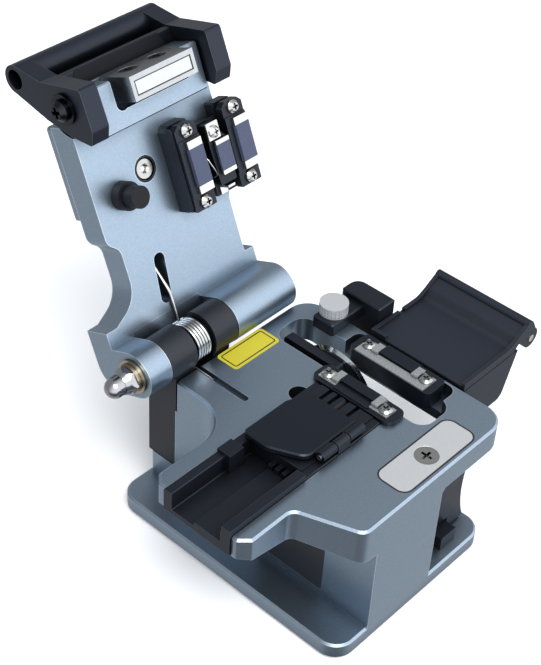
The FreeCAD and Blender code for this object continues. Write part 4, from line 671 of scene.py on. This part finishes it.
def make_hex_liner():
    """Black sleeve in the counterbore of the lid's hexagon screw."""
    sides = 40
    outer_radius = 2.87 * MM
    inner_radius = 2.42 * MM
    angles = [2 * math.pi * i / sides for i in range(sides)]
    outer = [(outer_radius * math.cos(a), outer_radius * math.sin(a)) for a in angles]
    inner = [(inner_radius * math.cos(a), inner_radius * math.sin(a)) for a in angles]
    sleeve = prism("hex_liner", outer, thickness=0.5 * MM, inner=inner)
    sleeve.transform(on_lid(x=-1.6 * MM, u=37.1 * MM, w=-5.52 * MM))
    piece("hex_liner", sleeve, "lid", "smooth_black")


def make_anvil_strips():
    """Bright leaf ends that hold the middle anvil's pad."""
    for name, first, last in (("anvil_strip_top", 36.36, 37.3), ("anvil_strip_foot", 29.6, 30.54)):
        length = (last - first) * MM
        strip = rounded_card(name, width=3.9 * MM, height=length, corner=0.15 * MM, thickness=0.5 * MM)
        strip.transform(on_lid(x=15.65 * MM, u=(first + last) / 2 * MM, w=0.55 * MM))
        piece(name, strip, "lid_anvil", "steel")


def make_return_wire():
    """Thin bright return spring between the left jaw and the middle anvil."""
    bends = ((10.9, 34.8, -1.8), (10.9, 34.4, 0.3), (11.7, 32.2, 0.5), (12.5, 30.2, 0.4), (12.6, 29.4, -1.2))
    route = [lid_point(x * MM, u * MM, w * MM) for x, u, w in bends]
    mesh = wire("return_wire", route, radius=0.14 * MM)
    piece("return_wire", mesh, "lid", "wire")


def make_handle_pocket():
    """Painted shade: a near-black sheet with slanted ends on the web between the handle's arms, where the
    deep pocket lies in shadow.
    """
    middle = 2.2
    half_foot = 13.8
    half_top = 11.6
    foot, shoulder, top = 54.8, 56.6, 61.5
    corners = (
        (-half_foot, foot), (half_foot, foot), (half_foot, shoulder),
        (half_top, top), (-half_top, top), (-half_foot, shoulder),
    )
    outline = [((middle + x) * MM, u * MM) for x, u in corners]
    shade_sheet = prism("handle_pocket_shade", outline, thickness=0.05 * MM)
    shade_sheet.transform(on_lid(x=0, u=0, w=-8.19 * MM))
    piece("handle_pocket_shade", shade_sheet, "handle", "pocket")


def make_clamp_skirt():
    """Thin black lip on the clamp base that covers the gap at the left jaw's side."""
    profile = ((24.9, -2.42), (43.7, -2.42), (43.7, -0.9), (42.9, -0.3), (25.7, -0.3), (24.9, -0.9))
    skirt = prism("clamp_skirt", [(u * MM, w * MM) for u, w in profile], thickness=0.14 * MM)
    skirt.transform(lid_section(4.03 * MM))
    piece("clamp_skirt", skirt, "lid", "black")


def make_lid_root():
    """Root of the lid plate that closes the gap to the post's barrel."""
    profile = ((6.25, -5.02), (3.3, -5.02), (2.95, -5.25), (2.8, -8.0), (6.25, -11.55))
    root = prism("lid_root", [(u * MM, w * MM) for u, w in profile], ROOT_RIGHT - ROOT_LEFT)
    root.transform(lid_section(ROOT_LEFT))
    piece("lid_root", root, "lid", "body")


def spring_route():
    """Short leg in the deck's groove, close-wound coil, leg in the lid's slot."""
    first = COIL_LEFT + WIRE_RADIUS
    last = COIL_RIGHT - WIRE_RADIUS
    route = [Vector((first, HINGE_Y - LEG_SHOWN, HINGE_Z - COIL_RADIUS))]
    for i in range(COIL_STEPS + 1):
        angle = 2 * math.pi * COIL_TURNS * i / COIL_STEPS - math.pi / 2
        x = first + (last - first) * i / COIL_STEPS
        y = HINGE_Y + COIL_RADIUS * math.cos(angle)
        z = HINGE_Z + COIL_RADIUS * math.sin(angle)
        route.append(Vector((x, y, z)))
    for u, drop in ((9.8, 0.0), (10.4, 0.08), (11.0, 0.3), (16.6, 3.0)):
        route.append(lid_point(last - u * LEG_LEAN * MM, u * MM, -COIL_RADIUS - drop * MM))
    return route


def make_spring():
    """Smooth round wire along the coil and its two legs, twisted between base and lid."""
    name = "torsion_spring_wire"
    mesh = wire(name, spring_route(), WIRE_RADIUS)
    spring = bpy.data.objects.new(name, mesh)
    bpy.context.scene.collection.objects.link(spring)
    mesh.materials.append(LOOKS["wire"])
    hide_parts("torsion_spring")
    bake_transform(spring)


# ---------------------------------------------------------------- assembly
make_camera()
make_studio()
dress_nodes()
make_deck_label()
make_side_patch()
make_strike_line()
make_magnet_line()
make_hex_liner()
make_anvil_strips()
make_return_wire()
make_handle_pocket()
make_clamp_skirt()
make_lid_root()
make_spring()
